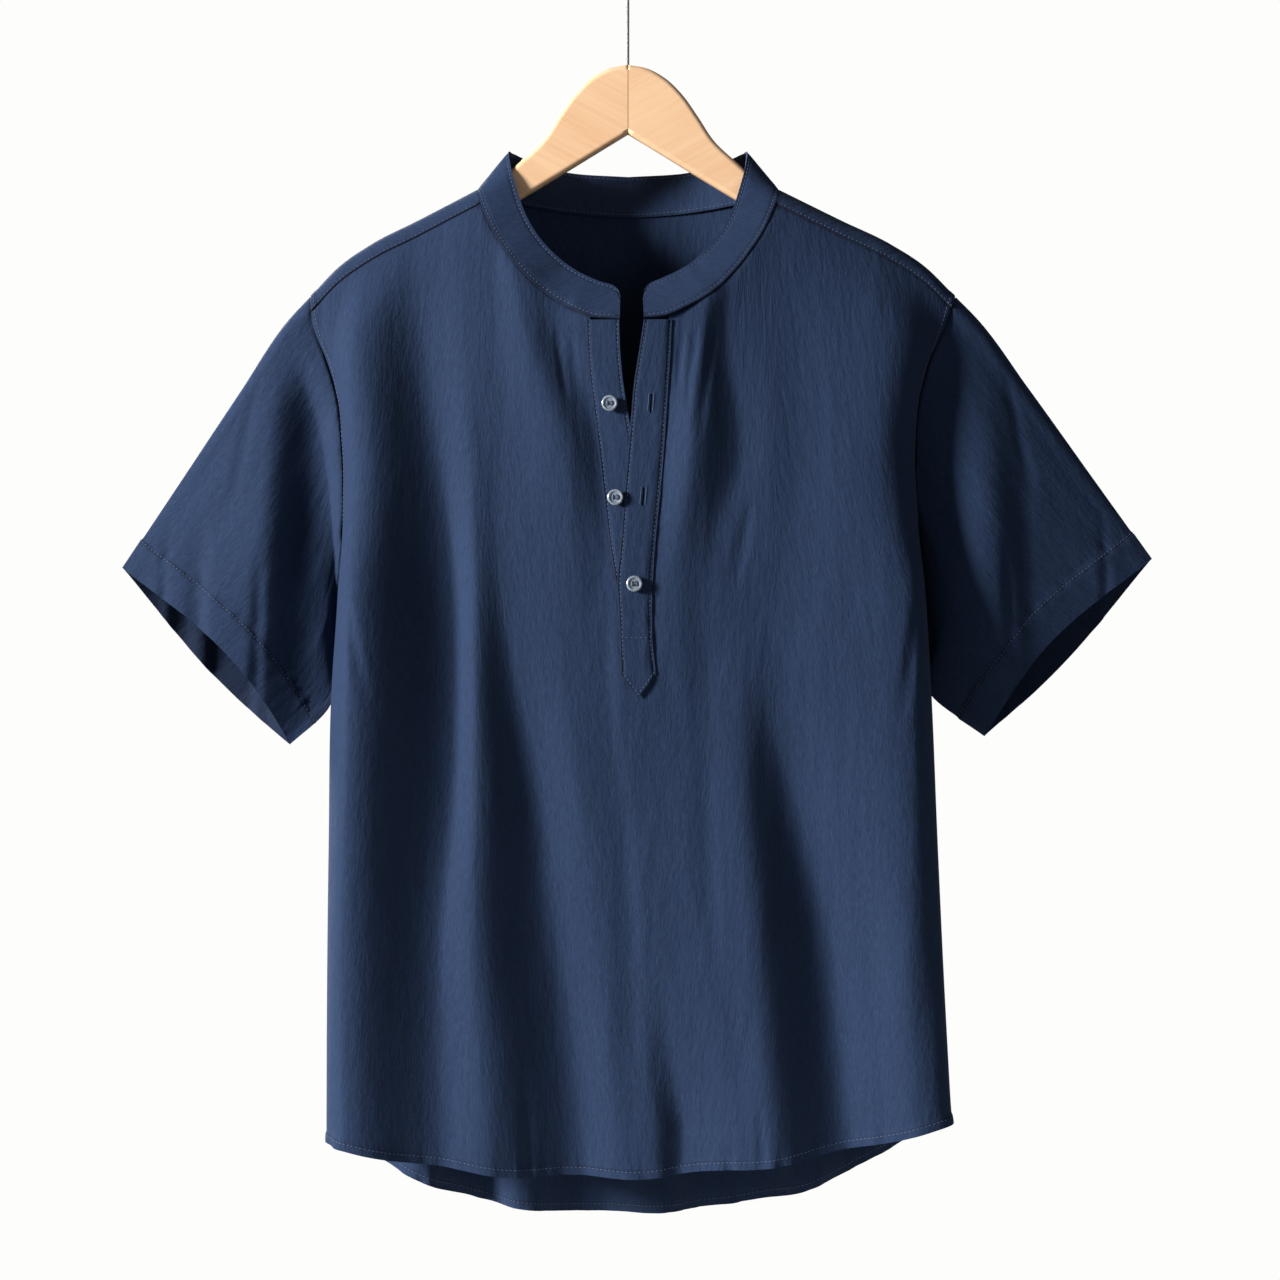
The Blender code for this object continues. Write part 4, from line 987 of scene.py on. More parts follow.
def sleeve(side):
    """A tube from the armhole to the cuff, with its turned hem."""
    sign = -1 if side == "left" else 1
    line = SLEEVE[side]
    around = np.linspace(0, 2 * math.pi, 2 * SLEEVE_HALF, endpoint=False)
    q = (1 - np.cos(around)) / 2
    out = np.where(np.sin(around) > 1e-9, -1.0, np.where(np.sin(around) < -1e-9, 1.0, 0.0))
    arm_z = SHOULDER_TIP + (ARMPIT - SHOULDER_TIP) * q
    arm_x = side_x(sign, arm_z)
    arm_depth = armhole_depth(arm_z, SHOULDER_TIP - arm_z)[1]
    top, low = (np.array([line[k + "_x"][-1], line[k + "_z"][-1]]) for k in ("top", "low"))
    chord = (low - top) / np.linalg.norm(low - top)
    up_sleeve = np.array([chord[1] * sign, -chord[0] * sign])
    belly = np.sin(math.pi * q ** 1.15)
    slant = np.where(out < 0, CUFF_FRONT_IN, -CUFF_BACK_OUT) * belly
    cuff = top + np.outer(q, low - top) + np.outer(slant, up_sleeve)
    cuff_depth = CUFF_DEPTH * belly ** 0.8
    shares = fine_steps(SLEEVE_ROWS, 0.3, 1, 0.6)
    grid = np.zeros((len(shares), len(q), 3))
    for i, t in enumerate(shares):
        t_top = [curve(t, line["along"], line[k]) for k in ("top_x", "top_z")]
        t_low = [curve(t, line["along"], line[k]) for k in ("low_x", "low_z")]
        flat = np.stack([arm_x, arm_z], axis=-1) * (1 - t) + cuff * t
        flat = flat + np.outer(1 - q, t_top - flat[0]) + np.outer(q, t_low - flat[SLEEVE_HALF])
        thick = arm_depth * (1 - t) + cuff_depth * t + SLEEVE_BULGE * math.sin(math.pi * t) * belly
        flat[:, 0] += sign * (SLEEVE_GAP + ARMPIT_GAP * q ** 6) * (1 - t)
        calm = np.sin(math.pi * q) ** 0.7 * smoothstep(t / 0.12)
        large, small = (fold_depth(flat[:, 0], flat[:, 1], folds["sleeve_" + side])
                        for folds in (FOLDS, CREASES))
        thick = thick - calm * (SLEEVE_FOLDS[side] * large + smoothstep(t / 0.2) * small)
        grid[i] = np.stack([flat[:, 0], out * np.maximum(thick, 0), flat[:, 1]], axis=-1)
    wrapped = np.concatenate([grid[:, -1:], grid, grid[:, :1]], axis=1)
    inward = grid_inward(wrapped, -sign)[:, 1:-1]
    print(side, "sleeve: share of the wall that goes inwards", np.mean(inward[..., 1] * out <= 0))
    from_arm, from_cuff = steps_from(grid, 0), steps_from(grid, 0, end=True)
    u = 2 * q * HALF_GIRTH * np.where(out < 0, 1, -1) + 0 * from_arm
    wave = crinkle(u, from_arm, 71 + sign) * smoothstep(from_arm / 14)
    cap = pucker(from_arm, arm_z + 0 * from_arm, 10, 0.9, 10, 81) * smoothstep(from_arm / 1.5)
    cap = cap + drawn_in(from_arm, 0.4, 1.0)
    cuff_edge = turned_edge(from_cuff, CUFF_HEM, 0.8)
    gathers = pucker(np.abs(from_cuff - CUFF_HEM), u, 6, 0.9, 6, 91)
    tight = smoothstep(np.sin(math.pi * q) * 4)
    add = (wave + cap + gathers) * tight + cuff_edge
    grid = grid - inward * add[:, :, None]
    ring = np.concatenate([grid, grid[:, :1]], axis=1)
    ring_from = np.concatenate([from_cuff, from_cuff[:, :1]], axis=1)
    stitch_lines[f"cuff_{side}"] = line_at(ring, ring_from, CUFF_HEM - STITCH_IN)
    shade = shaded(from_arm, 0, 1.3) + shaded(from_cuff, CUFF_HEM - STITCH_IN, 1.0)
    # The inner face of a sleeve is darkened by inside=0.55: painted shade for the dim inside of
    # the tube.
    return cloth_piece(f"sleeve_{side}_cloth", grid, inward, CLOTH, around=True, shade=shade,
                       inside=0.55)


sleeve("left")
sleeve("right")

# %% [markdown]
# ## The neckband
#
# A band collar is a straight double strip that stands on the neck seam. At the back it stands
# up and its inside shows; at the front both ends are rounded and lean outwards. Its two edges
# are stitched all round, which draws a shallow line about two millimetres inside each edge.

# %% The neckband
BAND_TOP = table(
    "angle x y z",
    (0, 0.0, -33, -256.5),
    (8, 13.5, -33, -256),
    (20, 28.5, -32, -250),
    (40, 52.0, -28, -233),
    (60, 69.5, -20, -211),
    (75, 78.5, -13, -189),
    (83, 83.5, -8, -171),
    (90, 85.7, 0, -158.4),
    (102, 83.0, 9, -157),
    (120, 74.0, 19, -160),
    (150, 43.0, 31, -168.5),
    (180, 0.0, 35, -171),
)
BAND_CORNER, BAND_COLUMNS, BAND_ROWS = 11.0, 300, 22
BAND_STITCH = 2.2
PLY, PLACKET_CLOTH = 1.05, 0.8          # how far a placket stands out, and how thick it is
BAND_INSIDE, BAND_OVERLAP = 1.5, 1.4    # at the back the band laps the panel's inside
BAND_OVER, BAND_COVERS = 1.4, 1.2       # in front it stands over the plackets' tops and hides them
PLACKET_ANGLE = 14.0                    # the plackets end at this angle round the neck


def band_seam(angle):
    """The neck seam, by the angle round the neck from the centre front."""
    x = -NECK * np.sin(angle)
    in_front = np.cos(angle) > 0
    z = np.where(in_front, neck_z(x, "front"), neck_z(x, "back"))
    y = np.where(in_front, -depth(x, z, "front"), depth(x, z, "back"))
    return np.stack([x, y, z], axis=-1)


def neckband():
    """The standing band, from one rounded front corner round the neck to the other."""
    left_end, right_end = -PLACKET["lower_right"][0], PLACKET["upper_left"][0]
    ends = [math.asin(left_end / NECK), 2 * math.pi - math.asin(right_end / NECK)]
    share = np.linspace(0, 1, BAND_COLUMNS + 1)
    share = share - 0.35 * np.sin(2 * math.pi * share) / (2 * math.pi)
    angle = ends[0] + (ends[1] - ends[0]) * share
    folded = np.degrees(np.where(angle > math.pi, 2 * math.pi - angle, angle))
    low = band_seam(angle)
    front_share = smoothstep((np.cos(angle) + 0.2) / 0.4)
    tuck = (1 - front_share)[:, None]
    low = low - tuck * (0, BAND_INSIDE, BAND_OVERLAP)
    low[:, 2] -= BAND_COVERS * (1 - smoothstep((folded - PLACKET_ANGLE) / 10))
    top = np.stack([curve(folded, BAND_TOP["angle"], BAND_TOP[k]) for k in "xyz"], axis=-1)
    top[:, 0] *= np.where(angle > math.pi, 1, -1)
    along = steps_from(low[None], 1)[0]
    from_end = np.minimum(along, along[-1] - along)
    width = np.linalg.norm(top - low, axis=1)
    cut = 1 - np.sqrt(1 - (1 - np.clip(from_end / BAND_CORNER, 0, 1)) ** 2)
    reach = 1 - cut * (BAND_CORNER / width)
    over_placket = 1 - smoothstep((folded - PLACKET_ANGLE) / 20)
    lift = (np.where(angle > math.pi, 2 * PLY, PLY) + BAND_OVER) * over_placket
    grid = np.stack([low + np.outer(reach * r / BAND_ROWS, (1, 1, 1)) * (top - low)
                     for r in range(BAND_ROWS + 1)])
    inward = grid_inward(grid, 1)
    print("band: share of the wall that goes inwards", np.mean(inward[..., 1] * grid[..., 1] <= 0))
    grid -= inward * lift[None, :, None]
    up = steps_from(grid, 0)
    down = steps_from(grid, 0, end=True)
    run = along + 0 * up
    ripple = 0.35 * lumps(run, up, 13, 30, 5) + 0.5 * lumps(run, up, 46, 60, 9)
    drawn = drawn_in(up, BAND_STITCH) + drawn_in(down, BAND_STITCH)
    gathers = pucker(np.abs(up - BAND_STITCH), run, 3, 0.4, 7, 55)
    proud = 0.5 * np.sqrt(1 - (1 - np.clip(up / 0.9, 0, 1)) ** 2) * front_share
    add = ripple * smoothstep(up / 5) + drawn + gathers + proud
    grid = grid - inward * add[:, :, None]
    inner = grid + inward * BAND_CLOTH
    for key, lines in (("outside", grid), ("inside", inner)):
        stitch_lines[f"band_low_{key}"] = line_at(lines, up, BAND_STITCH)[3:-3]
        stitch_lines[f"band_top_{key}"] = line_at(lines, down, BAND_STITCH)[3:-3]
    stitched = shaded(up, BAND_STITCH, 0.7) + shaded(down, BAND_STITCH, 0.6)
    shade = 0.8 * (shaded(up, 0, 0.7) + stitched)
    return cloth_piece("collar_band", grid[::-1], inward[::-1], BAND_CLOTH, shade=shade[::-1])


neckband()

# %% [markdown]
# ## The plackets
#
# Two narrow strips finish the slit. The lower one carries the buttons, and the upper one has
# buttonholes and a pointed end that is stitched through. Each lies on the front panel, so it
# takes the panel's own surface, moved out by a layer of cloth. The buttonholes are real slits:
# those cells of the grid are left out.

# %% The plackets
BUTTONHOLES, HOLE_LONG = (-340.5, -406.8, -468.5), 13.0
PLACKET_ROWS, PLACKET_TOP_GAP = 132, 0.15
EDGE_STITCH, POINT_STITCH, CROSS_STITCH = 2.0, 2.2, -507.0


def placket(name, layer, left, right, low_end, point, holes):
    """A strip on the front, with edge stitch lines and buttonholes at these heights."""
    heights = np.linspace(PLACKET["z"][0] - PLACKET_TOP_GAP, low_end, PLACKET_ROWS + 1)
    x_left, x_right = (curve(heights, PLACKET["z"], PLACKET[k]) for k in (left, right))
    # Columns lie close together at both edges, where the stitch lines are.
    edge = np.array([0, 0.012, 0.03, 0.05, 0.068, 0.085, 0.103, 0.13, 0.17])
    share = np.concatenate([edge, np.linspace(0.22, 0.78, 13), 1 - edge[::-1]])
    x = x_left[:, None] + (x_right - x_left)[:, None] * share
    z = np.repeat(heights[:, None], len(share), axis=1)
    if point:
        tail = np.clip((np.arange(PLACKET_ROWS + 1) - PLACKET_ROWS + 12) / 12, 0, 1)
        z = z - point * (1 - np.abs(share * 2 - 1)) * tail[:, None]
    lift = PLY * layer - (PLY * (layer - 1)) * smoothstep((share - 0.72) / 0.28)
    points, inward = on_panel(x, z, "front")
    points = points - inward * (lift + 0 * x)[:, :, None]
    across = share * (x_right - x_left)[:, None]
    from_edge = np.minimum(across, across[:, -1:] - across)
    drawn = drawn_in(from_edge, EDGE_STITCH, 0.45)
    rounded = 0.4 * (1 - np.clip(from_edge / 0.8, 0, 1)) ** 2
    gathers = pucker(np.abs(from_edge - EDGE_STITCH), z, 4, 0.35, 8, 33 + layer)
    points = points - inward * (gathers + drawn - rounded)[:, :, None]
    present = np.ones((PLACKET_ROWS, len(share) - 1), bool)
    shade = shaded(from_edge, 0, 0.6) + 0.8 * shaded(from_edge, EDGE_STITCH, 0.6)
    for side, column in (("left", 5), ("right", -6)):
        stitch_lines[f"{name}_{side}"] = points[2:-6, column] - inward[2:-6, column] * 0.02
    if point:
        from_end = steps_from(points, 0, end=True)
        stitch_lines[f"{name}_point"] = line_at(points, from_end, POINT_STITCH)[4:-4]
        row = int(np.argmin(np.abs(heights - CROSS_STITCH)))
        stitch_lines[f"{name}_cross"] = points[row, 4:-4]
        shade = shade + shaded(from_end, 0, 1.0) + 0.8 * shaded(z, CROSS_STITCH, 0.8)
    centre = len(share) // 2
    for n, hole_z in enumerate(holes):
        open_rows = np.abs((z[:-1, centre] + z[1:, centre]) / 2 - hole_z) < HOLE_LONG / 2
        present[open_rows, centre] = False
        lip = np.append(open_rows, False)
        for side, column in (("left", centre - 1), ("right", centre + 2)):
            stitch_lines[f"lip_{n}_{side}"] = points[lip, column] - inward[lip, column] * 0.1
    return cloth_piece(name, points, inward, PLACKET_CLOTH, present, shade=shade)


placket("under_placket", 1, "lower_left", "lower_right", LOWER_PLACKET_END, 0, ())
placket("over_placket", 2, "upper_left", "upper_right", UPPER_PLACKET_END, PLACKET_POINT,
        BUTTONHOLES)

# %% [markdown]
# ## Stitches
#
# Every topstitch is the same short thread, a little sunk in the cloth, laid again and again
# along a seam. That is a job for Geometry Nodes: the seam line becomes a curve, the curve is
# cut into equal steps, and a small rounded thread is placed on each step and turned along it.
# The sizes are named inputs, so one tree serves hems, plackets and buttonholes.

# %% A geometry tree for stitches
class GeometryTree:
    """A node tree under construction, with named inputs."""

    def __init__(self, name):
        self.tree = bpy.data.node_groups.new(name, "GeometryNodeTree")
        self.keys = {}
        for way in ("INPUT", "OUTPUT"):
            self.tree.interface.new_socket("Geometry", in_out=way,
                                           socket_type="NodeSocketGeometry")

    def size(self, name, default):
        """Adds a named size as an input of the tree."""
        item = self.tree.interface.new_socket(name, in_out="INPUT", socket_type="NodeSocketFloat")
        item.default_value = default
        self.keys[name] = item.identifier

    def node(self, kind, settings=None, values=None):
        """Makes a node from its type, its settings and its sockets' values or links."""
        made_node = self.tree.nodes.new(kind)
        for key, value in (settings or {}).items():
            setattr(made_node, key, value)
        for key, value in (values or {}).items():
            if isinstance(value, bpy.types.NodeSocket):
                self.tree.links.new(value, made_node.inputs[key])
            else:
                made_node.inputs[key].default_value = value
        return made_node


def stitch_tree(thread):
    """Rounded threads along every line of a mesh."""
    build = GeometryTree("stitches_along_lines")
    build.size("Stitch length", 0.0022)
    build.size("Gap between stitches", 0.0009)
    build.size("Thread radius", 0.00022)
    entry = build.node("NodeGroupInput")
    pitch = build.node("ShaderNodeMath", {"operation": "ADD"},
                       {0: entry.outputs["Stitch length"],
                        1: entry.outputs["Gap between stitches"]})
    line = build.node("GeometryNodeMeshToCurve", None, {"Mesh": entry.outputs["Geometry"]})
    steps = build.node("GeometryNodeResampleCurve", {"mode": "LENGTH"},
                       {"Curve": line.outputs[0], "Length": pitch.outputs[0]})
    bead = build.node("GeometryNodeMeshUVSphere", None,
                      {"Segments": 6, "Rings": 5, "Radius": 1.0})
    half = build.node("ShaderNodeMath", {"operation": "MULTIPLY"},
                      {0: entry.outputs["Stitch length"], 1: 0.5})
    scale = build.node("ShaderNodeCombineXYZ", None,
                       {"X": entry.outputs["Thread radius"],
                        "Y": entry.outputs["Thread radius"], "Z": half.outputs[0]})
    tangent = build.node("GeometryNodeInputTangent")
    turn = build.node("FunctionNodeAlignRotationToVector", {"axis": "Z"},
                      {"Vector": tangent.outputs[0]})
    laid = build.node("GeometryNodeInstanceOnPoints", None,
                      {"Points": steps.outputs[0], "Instance": bead.outputs[0],
                       "Rotation": turn.outputs[0], "Scale": scale.outputs[0]})
    real = build.node("GeometryNodeRealizeInstances", None, {"Geometry": laid.outputs[0]})
    smooth = build.node("GeometryNodeSetShadeSmooth", None, {"Geometry": real.outputs[0]})
    painted = build.node("GeometryNodeSetMaterial", None,
                         {"Geometry": smooth.outputs[0], "Material": thread})
    build.node("NodeGroupOutput", None, {"Geometry": painted.outputs[0]})
    return build


thread_paint = bpy.data.materials.new("sewing_thread")
STITCHES = stitch_tree(thread_paint)


def sew(name, keys, length, gap, radius):
    """Stitches along the named lines, as one plain mesh."""
    points, edges = [], []
    for key in keys:
        line = stitch_lines[key] * MM
        start = len(points)
        points.extend(line.tolist())
        edges.extend((start + n, start + n + 1) for n in range(len(line) - 1))
    mesh = bpy.data.meshes.new(name + "_lines")
    mesh.from_pydata(points, edges, [])
    guide = bpy.data.objects.new(name + "_lines", mesh)
    bpy.context.scene.collection.objects.link(guide)
    modifier = guide.modifiers.new("stitches", "NODES")
    modifier.node_group = STITCHES.tree
    for key, value in (("Stitch length", length), ("Gap between stitches", gap),
                       ("Thread radius", radius)):
        modifier[STITCHES.keys[key]] = value
    drawn = guide.evaluated_get(bpy.context.evaluated_depsgraph_get())
    result = bpy.data.meshes.new_from_object(drawn)
    result.name = name
    bpy.data.objects.remove(guide)
    obj = bpy.data.objects.new(name, result)
    bpy.context.scene.collection.objects.link(obj)
    made[name] = obj
    print(f"{name}: {len(result.polygons)} faces")
    return obj


TOPSTITCH = (0.0022, 0.0009, 0.00028)            # length, gap and radius in metres
BUTTONHOLE_STITCH = (0.0007, 0.0001, 0.00045)
SEAMS = {
    "front_stitches": (("hem_front", "armhole_front"), TOPSTITCH),
    "back_stitches": (("hem_back", "armhole_back", "shoulder"), TOPSTITCH),
    "left_cuff_stitches": (("cuff_left",), TOPSTITCH),
    "right_cuff_stitches": (("cuff_right",), TOPSTITCH),
    "neckband_stitches": (("band_",), TOPSTITCH),
    "under_placket_stitches": (("under_placket",), TOPSTITCH),
    "over_placket_stitches": (("over_placket",), TOPSTITCH),
    "buttonhole_stitches": (("lip_",), BUTTONHOLE_STITCH),
}
for seam, (starts, stitch) in SEAMS.items():
    sew(seam, [key for key in stitch_lines if key.startswith(starts)], *stitch)

# %% [markdown]
# ## The buttons' thread
#
# The four-hole buttons are in the frame already. A few turns of thread cross each of them
# between the holes, so two short bars are laid over each button's face. Each bar is a small
# bent tube that dips into the holes at both ends.

# %% Thread bars
BUTTONS = table("x z", (-12.8, -340.9), (-8.8, -407.5), (4.6, -468.5))
HOLE_OFF_CENTRE, BAR_RADIUS = 1.55, 0.42
BAR_PATH = ((-1.05, -1.2), (-1.0, 0.35), (-0.7, 0.85), (0, 0.95), (0.7, 0.85), (1.0, 0.35),
            (1.05, -1.2))              # along the bar in hole distances, and height in mm


def thread_bars():
    """Two bars of thread on each button, as one mesh of tubes."""
    line = bpy.data.curves.new("button_thread_line", "CURVE")
    line.dimensions = "3D"
    line.bevel_depth = BAR_RADIUS * MM
    line.bevel_resolution = 3
    line.use_fill_caps = True
    for n, (x, z) in enumerate(zip(BUTTONS["x"], BUTTONS["z"])):
        lowest, highest = (np.array(corner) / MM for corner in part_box(f"button_{n + 1}"))
        centre = (lowest + highest) / 2
        out = -on_panel(np.array([x]), np.array([z]), "front")[1][0]
        side = unit(np.cross((0, 0, 1.0), out))
        up = np.cross(out, side)
        for k in (-1, 1):
            spline = line.splines.new("POLY")
            spline.points.add(len(BAR_PATH) - 1)
            for target, (along, height) in zip(spline.points, BAR_PATH):
                place = centre + up * along * HOLE_OFF_CENTRE + side * k * HOLE_OFF_CENTRE
                place = place + out * height
                target.co = (*(place * MM), 1)
    guide = bpy.data.objects.new("button_thread_line", line)
    bpy.context.scene.collection.objects.link(guide)
    drawn = guide.evaluated_get(bpy.context.evaluated_depsgraph_get())
    mesh = bpy.data.meshes.new_from_object(drawn)
    bpy.data.objects.remove(guide)
    obj = bpy.data.objects.new("button_thread", mesh)
    bpy.context.scene.collection.objects.link(obj)
    made["button_thread"] = obj
    print("button thread:", len(mesh.polygons), "faces")


thread_bars()

# %% [markdown]
# ## Shader maths
#
# A finish is mostly arithmetic on patterns. Written as nodes it is hard to read, so one small
# class stands for a socket and turns + and * into Math nodes. Everything else goes through one
# method that makes a node from its type, its settings and its values.

# %% Sockets as values
class Value:
    """A number that changes over a surface."""

    def __init__(self, finish, socket):
        self.finish, self.socket = finish, socket

    def math(self, operation, *others):
        """This value put through one Math node."""
        values = {0: self}
        values.update({n + 1: other for n, other in enumerate(others)})
        return self.finish.node("ShaderNodeMath", {"operation": operation}, values)

    def __add__(self, other):
        return self.math("ADD", other)

    __radd__ = __add__

    def __mul__(self, other):
        return self.math("MULTIPLY", other)

    __rmul__ = __mul__


class Finish:
    """A material under construction."""

    def __init__(self, name, roughness, **constants):
        self.material = bpy.data.materials.get(name) or bpy.data.materials.new(name)
        self.material.use_nodes = True
        self.tree = self.material.node_tree
        self.shader = self.tree.nodes["Principled BSDF"]
        self.shader.inputs["Roughness"].default_value = roughness
        for key, value in constants.items():
            self.shader.inputs[key.replace("_", " ")].default_value = value

    def node(self, kind, settings=None, values=None, output=0):
        """Makes a node from its type, its settings and its sockets' values or links."""
        made_node = self.tree.nodes.new(kind)
        for key, value in (settings or {}).items():
            setattr(made_node, key, value)
        for key, value in (values or {}).items():
            if isinstance(value, Value):
                self.tree.links.new(value.socket, made_node.inputs[key])
            else:
                made_node.inputs[key].default_value = value
        return Value(self, made_node.outputs[output])

    def place(self, source, scale):
        """Places on the surface, stretched: UV in metres or Object coordinates."""
        start = self.node("ShaderNodeTexCoord", output=source)
        return self.node("ShaderNodeMapping", None, {"Vector": start, "Scale": scale})

    def noise(self, place, detail=2.0, rough=0.5):
        """Noise with one lump for each unit of the place."""
        return self.node("ShaderNodeTexNoise", {"noise_dimensions": "3D"},
                         {"Vector": place, "Scale": 1.0, "Detail": detail, "Roughness": rough})

    def clear_range(self, value, low, high, to_low=0.0, to_high=1.0):
        """A value spread from one range to another, with soft ends."""
        return self.node("ShaderNodeMapRange", {"interpolation_type": "SMOOTHSTEP"},
                         {"Value": value, "From Min": low, "From Max": high,
                          "To Min": to_low, "To Max": to_high})

    def mix(self, factor, one, two):
        """Blends two colours."""
        values = {0: factor}
        for key, color in ((6, one), (7, two)):
            values[key] = color if isinstance(color, Value) else (*color, 1)
        return self.node("ShaderNodeMix", {"data_type": "RGBA"}, values, output=2)

    def bump(self, height, distance, strength, over=None):
        """Relief of this height in metres, over another bump if one is given."""
        values = {"Height": height, "Distance": distance, "Strength": strength}
        if over is not None:
            values["Normal"] = over
        return self.node("ShaderNodeBump", None, values)

    def join(self, key, value):
        """Drives a socket of the surface by a value."""
        self.tree.links.new(value.socket, self.shader.inputs[key])


# %% [markdown]
# ## Crinkled navy cotton
#
# The cloth is yarn-dyed navy with small thick places in the yarn, called slubs, and a crinkle
# that was set in after weaving. Close up there is a plain weave; from a metre away only fine
# lengthwise lines and a slightly lighter bloom on raised threads are left. Five noises on the
# grain UV make these, each at its real size, and they drive both colour and bump.

# %% Cotton
def cotton():
    """Navy crinkled cotton on the grain UV, in metres."""
    finish = Finish("crinkled_cotton", 0.86, Sheen_Weight=0.02, Sheen_Roughness=0.5,
                    Specular_IOR_Level=0.2)
    finish.shader.inputs["Sheen Tint"].default_value = (0.62, 0.72, 1.0, 1)
    slub = finish.noise(finish.place("UV", (1500, 160, 1)), detail=4, rough=0.65)
    weft = finish.noise(finish.place("UV", (260, 1700, 1)), detail=3, rough=0.6)
    ripple = finish.noise(finish.place("UV", (300, 105, 1)), detail=5, rough=0.62)
    puff = finish.noise(finish.place("UV", (120, 34, 1)), detail=3, rough=0.6)
    broad = finish.noise(finish.place("UV", (26, 9, 1)), detail=2)
    light = finish.clear_range(slub, 0.32, 0.68) * 0.5
    light = light + finish.clear_range(weft, 0.35, 0.65) * 0.25
    light = light + finish.clear_range(ripple, 0.3, 0.7) * 0.25
    color = finish.mix(light, (0.0042, 0.0120, 0.0350), (0.0098, 0.0228, 0.0580))
    worn = finish.clear_range(broad, 0.35, 0.75) * 0.22
    color = finish.mix(worn, color, (0.0115, 0.0265, 0.0650))
    # Painted shade: the navy is darkened along seams, stitch lines and edges by the seam_shade
    # share.
    seam = finish.node("ShaderNodeAttribute", {"attribute_name": "seam_shade"}, output="Fac")
    painted_seam_shade = finish.clear_range(seam, 0.05, 0.9, 0.0, 0.72)
    color = finish.mix(painted_seam_shade, color, (0.0009, 0.0028, 0.0110))
    finish.join("Base Color", color)
    finish.join("Roughness", finish.clear_range(slub, 0.2, 0.8, 0.93, 0.80))
    weave = finish.bump(slub * 0.5 + weft * 0.5, 0.0004, 0.7)
    crinkled = finish.bump(ripple, 0.0010, 0.46, weave)
    finish.join("Normal", finish.bump(puff, 0.0016, 0.43, crinkled))
    return finish.material


def thread():
    """Matt navy thread, a shade lighter than the cloth."""
    finish = Finish("sewing_thread", 0.7, Specular_IOR_Level=0.35)
    twist = finish.noise(finish.place("Object", (2600, 2600, 2600)), detail=1)
    finish.join("Base Color", finish.mix(twist, (0.026, 0.042, 0.085), (0.060, 0.090, 0.155)))
    finish.join("Normal", finish.bump(twist, 0.0001, 0.4))
    return finish.material


cloth_paint = cotton()
thread()
CLOTH_PIECES = ["shirt_front", "shirt_back", "sleeve_left_cloth", "sleeve_right_cloth",
                "collar_band", "under_placket", "over_placket"]
for name in CLOTH_PIECES:
    made[name].data.materials.append(cloth_paint)
made["button_thread"].data.materials.clear()
made["button_thread"].data.materials.append(thread_paint)
print("cotton:", len(cloth_paint.node_tree.nodes), "nodes")

# %% [markdown]
# ## Beech, steel and horn
#
# The hanger is pale beech with a thin lacquer. Its two boards are sawn from one plank, so the
# grain runs along each arm and mirrors at the joint. The hook is plain steel wire, drawn, so
# its scratches run along it. The buttons are grey, cloudy and polished like horn.

# %% Hard finishes
def beech(name, lean):
    """Lacquered beech whose grain follows one arm of the hanger."""
    finish = Finish(name, 0.42, Coat_Weight=0.25, Coat_Roughness=0.25)
    start = finish.node("ShaderNodeTexCoord", output="Object")
    along_arm = finish.node("ShaderNodeVectorRotate", {"rotation_type": "Y_AXIS"},
                            {"Vector": start, "Angle": lean})

    def grain(scale, detail, rough=0.5):
        stretched = finish.node("ShaderNodeMapping", None, {"Vector": along_arm, "Scale": scale})
        return finish.noise(stretched, detail=detail, rough=rough)

    line = grain((7, 60, 330), 4, 0.6)
    pore = grain((130, 900, 2600), 2)
    cloud = grain((9, 20, 75), 3)
    lines = finish.clear_range(line, 0.3, 0.7)
    color = finish.mix(lines, (0.575, 0.345, 0.188), (0.615, 0.392, 0.226))
    color = finish.mix(finish.clear_range(cloud, 0.35, 0.65) * 0.40, color, (0.65, 0.44, 0.27))
    color = finish.mix(finish.clear_range(pore, 0.60, 0.78) * 0.35, color, (0.42, 0.22, 0.10))
    x = finish.node("ShaderNodeSeparateXYZ", None, {"Vector": start})
    from_joint = finish.node("ShaderNodeMath", {"operation": "ABSOLUTE"}, {0: x})
    glue = finish.clear_range(from_joint, 0.0002, 0.0006, 0.8, 0.0)
    color = finish.mix(glue, color, (0.25, 0.13, 0.06))
    finish.join("Base Color", color)
    finish.join("Roughness", finish.clear_range(pore, 0.3, 0.8, 0.36, 0.55))
    finish.join("Normal", finish.bump(line * 0.4 + pore * 0.6, 0.0002, 0.4))
    return finish.material


def steel():
    """Drawn wire."""
    finish = Finish("drawn_wire", 0.34, Metallic=0.6)
    drawn = finish.noise(finish.place("Object", (1500, 1500, 60)), detail=3)
    finish.join("Base Color", finish.mix(drawn, (0.03, 0.032, 0.03), (0.06, 0.062, 0.06)))
    finish.join("Roughness", finish.clear_range(drawn, 0.2, 0.8, 0.26, 0.44))
    finish.join("Normal", finish.bump(drawn, 0.00008, 0.4))
    return finish.material


def horn():
    """Grey cloudy button."""
    finish = Finish("grey_horn", 0.30, Coat_Weight=0.3, Coat_Roughness=0.15)
    cloud = finish.noise(finish.place("Object", (260, 260, 420)), detail=4, rough=0.6)
    fibre = finish.noise(finish.place("Object", (900, 900, 2600)), detail=2)
    clouds = finish.clear_range(cloud, 0.3, 0.7)
    color = finish.mix(clouds, (0.10, 0.12, 0.15), (0.20, 0.235, 0.275))
    color = finish.mix(finish.clear_range(fibre, 0.5, 0.75) * 0.3, color, (0.11, 0.13, 0.16))
    finish.join("Base Color", color)
    finish.join("Roughness", finish.clear_range(cloud, 0.2, 0.8, 0.24, 0.40))
    finish.join("Normal", finish.bump(cloud, 0.0001, 0.3))
    return finish.material


def repaint(node, material):
    """Gives a frame piece its finish."""
    mesh = cad[node].data
    mesh.materials.clear()
    mesh.materials.append(material)


